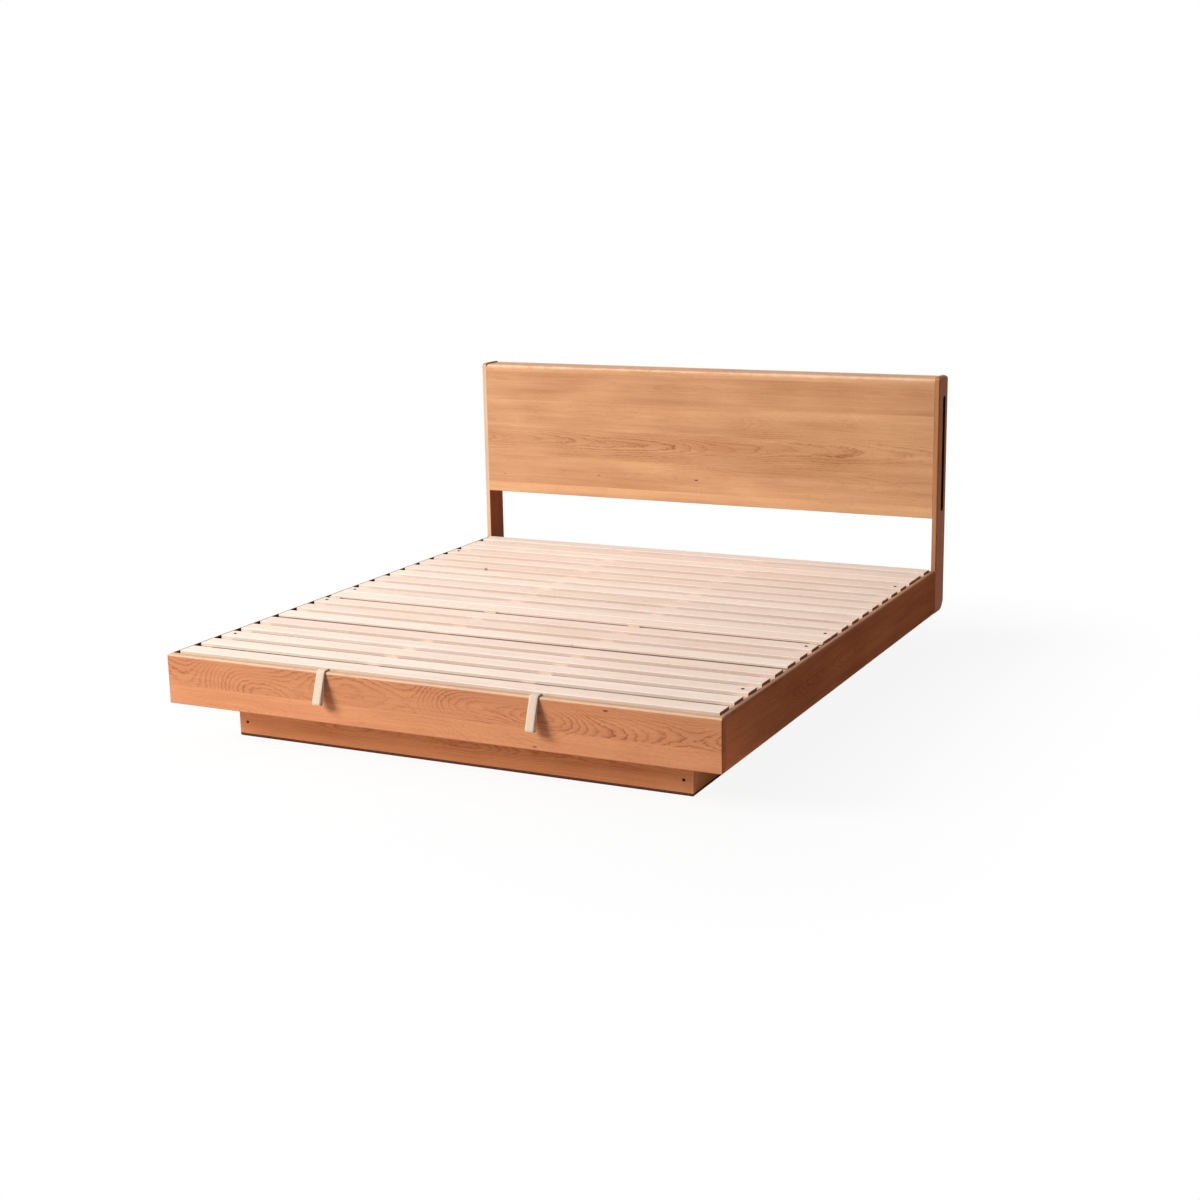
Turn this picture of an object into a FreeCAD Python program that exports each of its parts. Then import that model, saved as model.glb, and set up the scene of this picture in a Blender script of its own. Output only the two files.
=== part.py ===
import FreeCAD, Part
import math
import os

from FreeCAD import Vector

# Floating storage bed, millimetres. X runs across the bed, +Y from the foot to the head, +Z up.
# The origin is on the floor, below the middle of the whole box.

# Rail box
bed_width = 1860.0
platform_length = 2040.0
rail_thickness = 18.0
rail_bottom = 129.0
rail_height = 158.0
rail_top_radius = 8.0
rail_bottom_radius = 4.0
footboard_thickness = 25.0
footboard_back_radius = 2.0
footboard_end_radius = 4.0
head_rail_thickness = 20.0

# Headboard box and its posts
post_depth = 106.0
post_top = 988.0
post_front_radius = 12.0
post_back_radius = 20.0
post_heel_radius = 50.0
post_edge_radius = 4.0
post_crown_radius = 14.0
post_proud = 5.0
headboard_height = 505.0
face_thickness = 20.0
face_top_radius = 16.0
face_bottom_radius = 3.0
back_thickness = 12.0
board_thickness = 18.0
panel_joint = 0.5
slot_width = 31.0
slot_back_margin = 27.0
slot_top_margin = 66.0
slot_floor_step = 1.0
slot_edge_radius = 1.5
pocket_depth = 220.0
divider_thickness = 12.0

# Slat deck
slat_groups = (9, 9, 2)
flap_slats = 8
slat_width = 67.0
slat_thickness = 11.0
slat_edge_radius = 2.0
slat_rise = 5.0
slat_end_gap = 5.0
group_gap = 4.0
strap_gap = 13.0
head_gap = 8.0

# Bearers under the slats and the ledgers that carry them
bearer_width = 42.0
bearer_height = 30.0
inner_bearer_offset = 265.0
bearer_setback = 3.0
ledger_width = 30.0
ledger_height = 25.0
hinge_beam_thickness = 40.0
support_thickness = 20.0

# Storage floor, housed in grooves of the rails
floor_thickness = 9.0
floor_lift = 10.0
groove_depth = 8.0
groove_play = 0.2
groove_end_gap = 1.0

# Plinth
plinth_setback = 150.0
plinth_thickness = 18.0
plinth_edge_radius = 2.0
corner_block = 24.0
rib_thickness = 20.0
rib_lift = 20.0
glide_height = 4.0
glide_inset = 2.0

# Hinges between the flap's bearers and the hinge beam
hinge_to_slat = 6.0
hinge_width = 40.0
knuckle_radius = 3.5
knuckle_lift = 0.5
knuckle_gap = 0.3
pin_radius = 2.0
pin_clearance = 0.05
pin_head_radius = 3.0
pin_head_length = 1.2
leaf_thickness = 1.5
leaf_gap = 0.4
leaf_height = 26.0

# Pull straps
strap_offset = 358.0
strap_width = 27.0
strap_thickness = 4.5
strap_layer = 2.0
strap_clearance = 0.5
strap_front_tilt = 20.0
strap_back_tilt = 15.0
strap_fall = 95.5
strap_fold_radius = 4.0
strap_apex_radius = 0.3
strap_anchor_length = 45.0
strap_root_gap = 0.3

# Fasteners and corner brackets
screwed_flap_slats = (3, 8)
screwed_fixed_slats = (10, 17)
slat_screw_inset = 30.0
slat_screw_head_radius = 5.2
slat_screw_head_height = 2.5
slat_screw_radius = 2.0
slat_screw_length = 26.0
hinge_screw_spread = 24.0
hinge_screw_head_radius = 2.6
hinge_screw_head_height = 1.2
hinge_screw_radius = 1.4
hinge_screw_length = 14.0
bolt_heights = (46.0, 105.0)
bolt_head_radius = 4.4
bolt_head_height = 5.0
bolt_recess_radius = 5.0
bolt_recess_depth = 8.0
bolt_radius = 2.5
bolt_grip = 20.0
bracket_leg = 50.0
bracket_height = 60.0
bracket_thickness = 3.0
bracket_lift = 12.0
bracket_screw_margin = 14.0
bracket_screw_head_radius = 4.0
bracket_screw_head_height = 2.5
bracket_screw_radius = 2.0
bracket_screw_bite = 11.0
screw_clearance = 0.1

# Heights
rail_top = rail_bottom + rail_height
slat_top = rail_top + slat_rise
slat_bottom = slat_top - slat_thickness
bearer_bottom = slat_bottom - bearer_height
ledger_bottom = bearer_bottom - ledger_height
floor_bottom = rail_bottom + floor_lift
floor_top = floor_bottom + floor_thickness
headboard_top = post_top - post_proud
headboard_bottom = headboard_top - headboard_height
pocket_floor = headboard_bottom + board_thickness
slot_bottom = pocket_floor + slot_floor_step
slot_top = headboard_top - slot_top_margin

# Widths
half_width = bed_width / 2
inner_half = half_width - rail_thickness
slat_half = inner_half - slat_end_gap
ledger_inner = inner_half - ledger_width
plinth_half = half_width - plinth_setback
plinth_inner = plinth_half - plinth_thickness
floor_half = inner_half + groove_depth - groove_end_gap
outer_bearer = slat_half - bearer_width / 2
bearer_centres = (-outer_bearer, -inner_bearer_offset, inner_bearer_offset, outer_bearer)

# The straps' section, as lines at set distances from the centre of the footboard's top front rounding
strap_half = strap_thickness / 2
strap_run_y = footboard_thickness + strap_clearance + strap_half
strap_root_z = slat_bottom - strap_half
strap_inner_bend = rail_top_radius + strap_clearance
strap_outer_bend = strap_inner_bend + strap_thickness
strap_middle_tilt = (strap_front_tilt + strap_back_tilt) / 2


def leaning(tilt):
    """The outward direction, as (y, z), of a strap layer that hangs at a tilt from upright."""
    return (-math.cos(math.radians(tilt)), math.sin(math.radians(tilt)))


def crossing(normal_a, distance_a, normal_b, distance_b):
    """The point (y, z) where two lines cross, each given by its normal and its distance."""
    share = normal_a[0] * normal_b[1] - normal_a[1] * normal_b[0]
    y = (distance_a * normal_b[1] - distance_b * normal_a[1]) / share
    z = (distance_b * normal_a[0] - distance_a * normal_b[0]) / share
    return (y, z)


strap_up = (0.0, 1.0)
strap_front_way = leaning(strap_front_tilt)
strap_back_way = leaning(strap_back_tilt)
strap_down_way = leaning(strap_middle_tilt - 90.0)
fold_front = crossing(strap_front_way, strap_outer_bend - strap_fold_radius,
                      strap_down_way, strap_fall - strap_fold_radius)
strap_reach = strap_fold_radius - fold_front[0] - rail_top_radius

# Places along the bed: the straps' reach counts in the box that the origin is centred on
foot_face = (strap_reach - platform_length - post_depth) / 2
foot_back = foot_face + footboard_thickness
post_front = foot_face + platform_length
post_back = post_front + post_depth
face_back = post_front + face_thickness
back_front = post_back - back_thickness
head_rail_back = post_front + head_rail_thickness
plinth_front_face = foot_face + plinth_setback
plinth_back_face = post_back - plinth_setback
strap_run = foot_face + strap_run_y

# The slats fill the deck: groups nearly touch, and inside a group the gaps are equal
slat_count = sum(slat_groups)
deck_front = foot_back + strap_gap
deck_back = post_front - head_gap
open_gaps = slat_count - len(slat_groups)
slat_gap = (deck_back - deck_front - slat_count * slat_width
            - (len(slat_groups) - 1) * group_gap) / open_gaps
last_of_group = [sum(slat_groups[:i + 1]) for i in range(len(slat_groups))]
slat_fronts = [deck_front]
for number in range(1, slat_count):
    gap_behind = group_gap if number in last_of_group else slat_gap
    slat_fronts.append(slat_fronts[-1] + slat_width + gap_behind)

# The hinge line lies in the gap behind the flap's last slat
hinge_y = slat_fronts[flap_slats] - hinge_to_slat
hinge_z = slat_bottom + knuckle_lift + knuckle_radius
flap_bearer_front = deck_front + bearer_setback
flap_bearer_back = hinge_y - leaf_gap / 2 - leaf_thickness
beam_front = hinge_y + leaf_gap / 2 + leaf_thickness
beam_back = beam_front + hinge_beam_thickness
beam_middle = (beam_front + beam_back) / 2
support_middle = (beam_back + post_front) / 2


# Shape helpers

def box(x_range, y_range, z_range):
    """A block between the given limits."""
    size = [limits[1] - limits[0] for limits in (x_range, y_range, z_range)]
    return Part.makeBox(*size, Vector(x_range[0], y_range[0], z_range[0]))


def rounded_face(corners):
    """A flat face from (point, radius) corners, each rounded by an arc."""
    edges = []
    last_point = None
    first_point = None
    for i, (point, radius) in enumerate(corners):
        to_before = (corners[i - 1][0] - point).normalize()
        to_after = (corners[(i + 1) % len(corners)][0] - point).normalize()
        half_angle = to_before.getAngle(to_after) / 2
        setback = radius / math.tan(half_angle)
        start = point + to_before * setback
        end = point + to_after * setback
        if last_point is None:
            first_point = start
        elif (start - last_point).Length > 1e-6:
            edges.append(Part.LineSegment(last_point, start).toShape())
        if radius > 0:
            inward = (to_before + to_after).normalize()
            middle = point + inward * (radius / math.sin(half_angle) - radius)
            edges.append(Part.Arc(start, middle, end).toShape())
        last_point = end
    if (first_point - last_point).Length > 1e-6:
        edges.append(Part.LineSegment(last_point, first_point).toShape())
    return Part.Face(Part.Wire(edges))


def side_prism(corners, x_range):
    """An outline of (y, z, radius) corners, carried across the bed."""
    face = rounded_face([(Vector(x_range[0], y, z), radius) for y, z, radius in corners])
    return face.extrude(Vector(x_range[1] - x_range[0], 0, 0))


def end_prism(corners, y_range):
    """An outline of (x, z, radius) corners, carried along the bed."""
    face = rounded_face([(Vector(x, y_range[0], z), radius) for x, z, radius in corners])
    return face.extrude(Vector(0, y_range[1] - y_range[0], 0))


def plan_prism(corners, z_range):
    """An outline of (x, y, radius) corners, carried upwards."""
    face = rounded_face([(Vector(x, y, z_range[0]), radius) for x, y, radius in corners])
    return face.extrude(Vector(0, 0, z_range[1] - z_range[0]))


def turned(profile, base, direction):
    """A round solid from (distance along the axis, radius) points."""
    outline = [Vector(0, 0, profile[0][0])]
    outline += [Vector(radius, 0, distance) for distance, radius in profile]
    outline += [Vector(0, 0, profile[-1][0]), outline[0]]
    solid = Part.Face(Part.makePolygon(outline)).revolve(Vector(0, 0, 0), Vector(0, 0, 1), 360)
    solid.Placement = FreeCAD.Placement(base, FreeCAD.Rotation(Vector(0, 0, 1), direction))
    return solid


def span(low, high):
    """A low and high limit in order."""
    return (min(low, high), max(low, high))


def save(name, solids):
    """Write one node, from one solid or a list of separate solids."""
    if not isinstance(solids, list):
        solids = [solids]
    pieces = [piece for solid in solids for piece in solid.Solids]
    for piece in pieces:
        assert piece.isValid() and piece.Volume > 0, name
    shape = pieces[0] if len(pieces) == 1 else Part.makeCompound(pieces)
    shape.exportStep(os.path.join("parts", name + ".step"))


# Fasteners: each gives the solid, or with a clearance the hole that it sits in

def slat_screw(slat_number, side, clearance=0.0):
    """A countersunk screw, flush with a slat's top, near one end of the slat."""
    y = slat_fronts[slat_number - 1] + slat_width / 2
    base = Vector(side * (slat_half - slat_screw_inset), y, slat_top)
    profile = [(0, slat_screw_head_radius + clearance),
               (slat_screw_head_height, slat_screw_radius + clearance),
               (slat_screw_length + clearance, slat_screw_radius + clearance)]
    return turned(profile, base, Vector(0, 0, -1))


def slat_screws(slat_numbers, clearance=0.0):
    """The screws at both ends of the named slats."""
    return [slat_screw(number, side, clearance) for number in slat_numbers for side in (-1, 1)]


def hinge_screws(way, clearance=0.0):
    """Countersunk screws that hold the hinge leaves (way -1 to the flap's bearers, +1 to the beam)."""
    y = hinge_y + way * leaf_gap / 2
    z = hinge_z - (leaf_height + knuckle_radius + knuckle_lift) / 2
    profile = [(0, hinge_screw_head_radius + clearance),
               (hinge_screw_head_height, hinge_screw_radius + clearance),
               (hinge_screw_length + clearance, hinge_screw_radius + clearance)]
    screws = []
    for centre in bearer_centres:
        for side in (-1, 1):
            base = Vector(centre + side * hinge_screw_spread / 2, y, z)
            screws.append(turned(profile, base, Vector(0, way, 0)))
    return screws


def plinth_bolt_places():
    """Each plinth bolt's place on the outer face, and the way it points."""
    x = plinth_inner - corner_block / 2
    for face_y, inward in ((plinth_front_face, 1), (plinth_back_face, -1)):
        for side in (-1, 1):
            for z in bolt_heights:
                yield Vector(side * x, face_y, z), Vector(0, inward, 0)


def plinth_bolts():
    """Cap-head bolts, sunk in the plinth's front and back boards."""
    seat = bolt_recess_depth
    end = plinth_thickness + bolt_grip
    profile = [(seat - bolt_head_height, bolt_head_radius), (seat, bolt_head_radius),
               (seat, bolt_radius), (end, bolt_radius)]
    return [turned(profile, base, inward) for base, inward in plinth_bolt_places()]


def plinth_bolt_holes():
    """The recess and bore of each plinth bolt."""
    seat = bolt_recess_depth
    bore = bolt_radius + screw_clearance
    end = plinth_thickness + bolt_grip + screw_clearance
    profile = [(0, bolt_recess_radius), (seat, bolt_recess_radius), (seat, bore), (end, bore)]
    return [turned(profile, base, inward) for base, inward in plinth_bolt_places()]


def bracket_screw_places():
    """Each bracket screw's place on the wood, and the way it points."""
    reach = bracket_leg - bracket_screw_margin
    low = floor_top + bracket_lift + bracket_screw_margin
    high = floor_top + bracket_lift + bracket_height - bracket_screw_margin
    for end_y, inward in ((foot_back, 1), (post_front, -1)):
        for side in (-1, 1):
            for z in (low, high):
                yield Vector(side * inner_half, end_y + inward * reach, z), Vector(side, 0, 0)
                yield Vector(side * (inner_half - reach), end_y, z), Vector(0, -inward, 0)


def bracket_screws():
    """Pan-head screws through the corner brackets into the wood."""
    head = -bracket_thickness - bracket_screw_head_height
    profile = [(head, bracket_screw_head_radius), (-bracket_thickness, bracket_screw_head_radius),
               (-bracket_thickness, bracket_screw_radius), (bracket_screw_bite, bracket_screw_radius)]
    return [turned(profile, base, inward) for base, inward in bracket_screw_places()]


def bracket_screw_holes():
    """The bore of each bracket screw, through the bracket and into the wood."""
    bore = bracket_screw_radius + screw_clearance
    profile = [(-bracket_thickness - 1, bore), (bracket_screw_bite + screw_clearance, bore)]
    return [turned(profile, base, inward) for base, inward in bracket_screw_places()]


def drilled(solid, holes):
    """The solid without the holes that reach into it."""
    near = [hole for hole in holes if hole.BoundBox.intersect(solid.BoundBox)]
    return solid.cut(near) if near else solid


# Rail box

def floor_groove(x_range, y_range):
    """The groove that houses the storage floor's edge."""
    return box(x_range, y_range, (floor_bottom, floor_top + groove_play))


def footboard():
    """The front board, over the ends of the side rails, with softened edges all round."""
    y_range = (foot_face, foot_back)
    section = [(foot_face, rail_bottom, rail_bottom_radius), (foot_face, rail_top, rail_top_radius),
               (foot_back, rail_top, footboard_back_radius), (foot_back, rail_bottom, 0)]
    front = [(-half_width, rail_bottom, rail_bottom_radius), (-half_width, rail_top, rail_top_radius),
             (half_width, rail_top, rail_top_radius), (half_width, rail_bottom, rail_bottom_radius)]
    plan = [(-half_width, foot_face, footboard_end_radius), (half_width, foot_face, footboard_end_radius),
            (half_width, foot_back, 0), (-half_width, foot_back, 0)]
    board = side_prism(section, (-half_width, half_width))
    board = board.common(end_prism(front, y_range))
    board = board.common(plan_prism(plan, (rail_bottom, rail_top)))
    groove_half = inner_half + groove_depth
    groove = floor_groove((-groove_half, groove_half), (foot_back - groove_depth, foot_back))
    return drilled(board.cut(groove), bracket_screw_holes())


def side_rail(side):
    """A long rail from the footboard to the post, grooved inside for the storage floor."""
    outer = side * half_width
    inner = side * inner_half
    section = [(inner, rail_bottom, 0), (outer, rail_bottom, rail_bottom_radius),
               (outer, rail_top, rail_top_radius), (inner, rail_top, footboard_back_radius)]
    rail = end_prism(section, (foot_back, post_front))
    groove_x = span(inner, inner + side * groove_depth)
    rail = rail.cut(floor_groove(groove_x, (foot_back, post_front)))
    return drilled(rail, bracket_screw_holes())


def head_rail():
    """The cross rail between the posts at the head end."""
    rail = box((-inner_half, inner_half), (post_front, head_rail_back), (rail_bottom, slat_bottom))
    rail = rail.cut(floor_groove((-inner_half, inner_half), (post_front, post_front + groove_depth)))
    return drilled(rail, bracket_screw_holes())


# Headboard

def post_slot(side):
    """The round-ended slot through a post into the headboard's pocket."""
    back = post_back - slot_back_margin
    front = back - slot_width
    radius = slot_width / 2
    corners = [(front, slot_bottom, radius), (back, slot_bottom, radius),
               (back, slot_top, radius), (front, slot_top, radius)]
    return side_prism(corners, span(side * inner_half, side * half_width))


def post(side):
    """A side post: it carries the rail's line up beside the headboard."""
    x_range = span(side * inner_half, side * half_width)
    inner = side * inner_half
    outer = side * half_width
    profile = [(post_front, rail_bottom, 0), (post_back, rail_bottom, post_heel_radius),
               (post_back, post_top, post_back_radius), (post_front, post_top, post_front_radius)]
    upper_plan = [(inner, post_front, 0), (outer, post_front, post_edge_radius),
                  (outer, post_back, post_edge_radius), (inner, post_back, 0)]
    lower_plan = [(inner, post_front, 0), (outer, post_front, 0),
                  (outer, post_back, post_edge_radius), (inner, post_back, 0)]
    upright = plan_prism(lower_plan, (rail_bottom, rail_top))
    upright = upright.fuse(plan_prism(upper_plan, (rail_top, post_top))).removeSplitter()
    crown = [(inner, rail_bottom, 0), (outer, rail_bottom, 0),
             (outer, post_top, post_crown_radius), (inner, post_top, 0)]
    body = side_prism(profile, x_range).common(upright)
    body = body.common(end_prism(crown, (post_front, post_back)))
    body = body.cut(post_slot(side))
    rim = [edge for edge in body.Edges if on_slot_rim(edge, outer)]
    return body.makeFillet(slot_edge_radius, rim)


def on_slot_rim(edge, outer):
    """Whether an edge lies on the slot's outer rim."""
    limits = edge.BoundBox
    at_face = abs(limits.XMin - outer) < 1e-3 and abs(limits.XMax - outer) < 1e-3
    inside_y = limits.YMin > post_front + post_edge_radius and limits.YMax < post_back - slot_back_margin / 2
    inside_z = limits.ZMin > headboard_bottom and limits.ZMax < post_top - post_back_radius
    return at_face and inside_y and inside_z


def headboard_face():
    """The front panel, with its top edge rounded over."""
    corners = [(post_front, headboard_bottom, face_bottom_radius),
               (post_front, headboard_top, face_top_radius),
               (face_back, headboard_top, 0), (face_back, headboard_bottom, 0)]
    half = inner_half - panel_joint
    return side_prism(corners, (-half, half))


def headboard_back():
    """The back panel of the headboard box."""
    half = inner_half - panel_joint
    return box((-half, half), (back_front, post_back), (headboard_bottom, headboard_top))


def headboard_board(bottom):
    """The top or bottom board that closes the headboard box."""
    return box((-inner_half, inner_half), (face_back, back_front), (bottom, bottom + board_thickness))


def pocket_dividers():
    """The upright inside each end of the box that closes the slot's pocket."""
    z_range = (pocket_floor, headboard_top - board_thickness)
    dividers = []
    for side in (-1, 1):
        near = side * (inner_half - pocket_depth)
        far = near - side * divider_thickness
        dividers.append(box(span(near, far), (face_back, back_front), z_range))
    return dividers


# Deck

def slat(number):
    """One slat across the bed, its long top edges eased."""
    front = slat_fronts[number - 1]
    back = front + slat_width
    corners = [(front, slat_bottom, 0), (back, slat_bottom, 0),
               (back, slat_top, slat_edge_radius), (front, slat_top, slat_edge_radius)]
    board = side_prism(corners, (-slat_half, slat_half))
    if number in screwed_flap_slats + screwed_fixed_slats:
        board = board.cut(slat_screws((number,), screw_clearance))
    return board


def bearers(y_range, holes):
    """The four bearers that the slats of one section are fixed to."""
    sticks = []
    for centre in bearer_centres:
        x_range = (centre - bearer_width / 2, centre + bearer_width / 2)
        sticks.append(drilled(box(x_range, y_range, (bearer_bottom, slat_bottom)), holes))
    return sticks


def side_ledger(side):
    """The ledger along a side rail that the outer bearers lie on."""
    x_range = span(side * ledger_inner, side * inner_half)
    return box(x_range, (foot_back, post_front), (ledger_bottom, bearer_bottom))


def cross_ledgers():
    """Ledgers at the footboard, on both faces of the hinge beam and at the head rail."""
    fronts = (foot_back, beam_front - ledger_width, beam_back, post_front - ledger_width)
    x_range = (-ledger_inner, ledger_inner)
    z_range = (ledger_bottom, bearer_bottom)
    return [box(x_range, (front, front + ledger_width), z_range) for front in fronts]


def hinge_beam():
    """The cross beam behind the flap: it lies on the side ledgers and stands on the storage floor."""
    y_range = (beam_front, beam_back)
    head = box((-inner_half, inner_half), y_range, (bearer_bottom, slat_bottom))
    stem = box((-ledger_inner, ledger_inner), y_range, (floor_top, bearer_bottom))
    return drilled(head.fuse(stem).removeSplitter(), hinge_screws(1, screw_clearance))


def rear_support():
    """The board that stands under the middle of the fixed bearers."""
    y_range = (support_middle - support_thickness / 2, support_middle + support_thickness / 2)
    return box((-ledger_inner, ledger_inner), y_range, (floor_top, bearer_bottom))


# Hinges

def hinge_leaf(centre, way, knuckles):
    """A leaf on one side of the hinge line (way -1 flap, +1 beam) with the knuckles it carries."""
    third = hinge_width / 3
    left = centre - hinge_width / 2
    near = hinge_y + way * leaf_gap / 2
    y_range = span(near, near + way * leaf_thickness)
    plate_top = hinge_z - knuckle_radius - knuckle_lift
    leaf = box((left, left + hinge_width), y_range, (hinge_z - leaf_height, plate_top))
    for index in knuckles:
        start = left + index * third + (knuckle_gap if index > 0 else 0)
        end = left + (index + 1) * third - (knuckle_gap if index < 2 else 0)
        base = Vector(start, hinge_y, hinge_z)
        barrel = Part.makeCylinder(knuckle_radius, end - start, base, Vector(1, 0, 0))
        leaf = leaf.fuse([box((start, end), y_range, (plate_top, hinge_z)), barrel])
    bore_base = Vector(left - 1, hinge_y, hinge_z)
    bore = Part.makeCylinder(pin_radius + pin_clearance, hinge_width + 2, bore_base, Vector(1, 0, 0))
    leaf = leaf.cut(bore).removeSplitter()
    return drilled(leaf, hinge_screws(way, screw_clearance))


def hinge_pin(centre):
    """A headed pin through the knuckles of one hinge."""
    inner = hinge_width / 2 + pin_clearance
    outer = inner + pin_head_length
    profile = [(-outer, pin_head_radius), (-inner, pin_head_radius), (-inner, pin_radius),
               (inner, pin_radius), (inner, pin_head_radius), (outer, pin_head_radius)]
    return turned(profile, Vector(centre, hinge_y, hinge_z), Vector(1, 0, 0))


# Straps

def strap(side):
    """A webbing strap: doubled behind the footboard and over its top edge, then an open loop in front."""
    x_range = (side * strap_offset - strap_width / 2, side * strap_offset + strap_width / 2)
    bend_y = foot_face + rail_top_radius
    bend_z = rail_top - rail_top_radius

    def corner(normal_a, distance_a, normal_b, distance_b, radius):
        y, z = crossing(normal_a, distance_a, normal_b, distance_b)
        return (bend_y + y, bend_z + z, radius)

    outer_face = strap_outer_bend - strap_layer
    inner_face = strap_inner_bend + strap_layer
    fold_face = strap_fall - strap_layer
    fold_inside = strap_fold_radius - strap_layer
    top = bend_z + strap_outer_bend
    root = strap_root_z - strap_half
    back_inner = footboard_back_radius + strap_clearance
    outline = [(strap_run + strap_half, root, strap_half),
               (strap_run + strap_half, top, back_inner + strap_thickness),
               corner(strap_up, strap_outer_bend, strap_front_way, strap_outer_bend, strap_outer_bend),
               corner(strap_front_way, strap_outer_bend, strap_down_way, strap_fall, strap_fold_radius),
               corner(strap_down_way, strap_fall, strap_back_way, strap_inner_bend, strap_fold_radius),
               corner(strap_back_way, strap_inner_bend, strap_up, strap_inner_bend, strap_inner_bend),
               (strap_run - strap_half, top - strap_thickness, back_inner),
               (strap_run - strap_half, root, strap_half)]
    loop = [corner(strap_front_way, outer_face, strap_back_way, inner_face, strap_apex_radius),
            corner(strap_front_way, outer_face, strap_down_way, fold_face, fold_inside),
            corner(strap_down_way, fold_face, strap_back_way, inner_face, fold_inside)]
    return side_prism(outline, x_range).cut(side_prism(loop, x_range))


def strap_anchors():
    """The strap ends, fixed flat under the first slat."""
    y_range = (strap_run + strap_half + strap_root_gap, deck_front + strap_anchor_length)
    z_range = (slat_bottom - strap_thickness, slat_bottom)
    ends = []
    for side in (-1, 1):
        centre = side * strap_offset
        ends.append(box((centre - strap_width / 2, centre + strap_width / 2), y_range, z_range))
    return ends


# Storage floor

def storage_floor_front():
    """The floor panel under the flap, from the footboard's groove to the middle rib."""
    y_range = (foot_back - groove_depth + groove_end_gap, beam_middle)
    return box((-floor_half, floor_half), y_range, (floor_bottom, floor_top))


def storage_floor_rear():
    """The floor panel from the middle rib to the head rail's groove."""
    z_range = (floor_bottom, floor_top)
    panel = box((-floor_half, floor_half), (beam_middle, post_front), z_range)
    tongue_half = inner_half - groove_end_gap
    tongue_y = (post_front, post_front + groove_depth - groove_end_gap)
    return panel.fuse(box((-tongue_half, tongue_half), tongue_y, z_range)).removeSplitter()


# Plinth

def plinth_cross_board(face_y, inward):
    """The plinth's front or back board, over the ends of its side boards."""
    inner = face_y + inward * plinth_thickness
    plan = [(-plinth_half, face_y, plinth_edge_radius), (plinth_half, face_y, plinth_edge_radius),
            (plinth_half, inner, 0), (-plinth_half, inner, 0)]
    return plan_prism(plan, (glide_height, floor_bottom)).cut(plinth_bolt_holes())


def plinth_side_board(side):
    """A side board of the plinth, between the front and back boards."""
    y_range = (plinth_front_face + plinth_thickness, plinth_back_face - plinth_thickness)
    return box(span(side * plinth_inner, side * plinth_half), y_range, (glide_height, floor_bottom))


def plinth_ribs():
    """Cross ribs under the hinge beam and under the rear support board."""
    ribs = []
    for middle in (beam_middle, support_middle):
        y_range = (middle - rib_thickness / 2, middle + rib_thickness / 2)
        ribs.append(box((-plinth_inner, plinth_inner), y_range, (rib_lift, floor_bottom)))
    return ribs


def plinth_corner_blocks():
    """The blocks inside the plinth's corners that its bolts go into."""
    blocks = []
    holes = plinth_bolt_holes()
    front = plinth_front_face + plinth_thickness
    back = plinth_back_face - plinth_thickness
    for start, way in ((front, 1), (back, -1)):
        y_range = span(start, start + way * max(corner_block, bolt_grip + bolt_radius))
        for side in (-1, 1):
            x_range = span(side * plinth_inner, side * (plinth_inner - corner_block))
            blocks.append(drilled(box(x_range, y_range, (glide_height, floor_bottom)), holes))
    return blocks


def plinth_glides():
    """Felt strips under the four plinth boards."""
    strips = []
    z_range = (0, glide_height)
    half = plinth_half - glide_inset
    strip = plinth_thickness - 2 * glide_inset
    front = plinth_front_face + glide_inset
    back = plinth_back_face - glide_inset
    for y_range in ((front, front + strip), (back - strip, back)):
        strips.append(box((-half, half), y_range, z_range))
    for side in (-1, 1):
        x_range = span(side * half, side * (half - strip))
        strips.append(box(x_range, (front + strip + glide_inset, back - strip - glide_inset), z_range))
    return strips


def corner_brackets():
    """Steel angles inside the four corners of the rail box."""
    z_range = (floor_top + bracket_lift, floor_top + bracket_lift + bracket_height)
    holes = bracket_screw_holes()
    brackets = []
    for end_y, inward in ((foot_back, 1), (post_front, -1)):
        for side in (-1, 1):
            corner = side * inner_half
            along_rail = box(span(corner, corner - side * bracket_thickness),
                             span(end_y, end_y + inward * bracket_leg), z_range)
            along_end = box(span(corner, corner - side * bracket_leg),
                            span(end_y, end_y + inward * bracket_thickness), z_range)
            brackets.append(drilled(along_rail.fuse(along_end).removeSplitter(), holes))
    return brackets


# Write every node

os.makedirs("parts", exist_ok=True)

save("footboard", footboard())
save("head_rail", head_rail())
save("headboard_front_panel", headboard_face())
save("headboard_back_panel", headboard_back())
save("headboard_top_board", headboard_board(headboard_top - board_thickness))
save("headboard_bottom_board", headboard_board(headboard_bottom))
save("pocket_dividers", pocket_dividers())

for side_name, side_sign in (("left", -1), ("right", 1)):
    save("side_rail_" + side_name, side_rail(side_sign))
    save("post_" + side_name, post(side_sign))
    save("ledger_" + side_name, side_ledger(side_sign))
    save("plinth_" + side_name, plinth_side_board(side_sign))
    save("strap_" + side_name, strap(side_sign))

for slat_number in range(1, slat_count + 1):
    save("slat_%02d" % slat_number, slat(slat_number))

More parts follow.
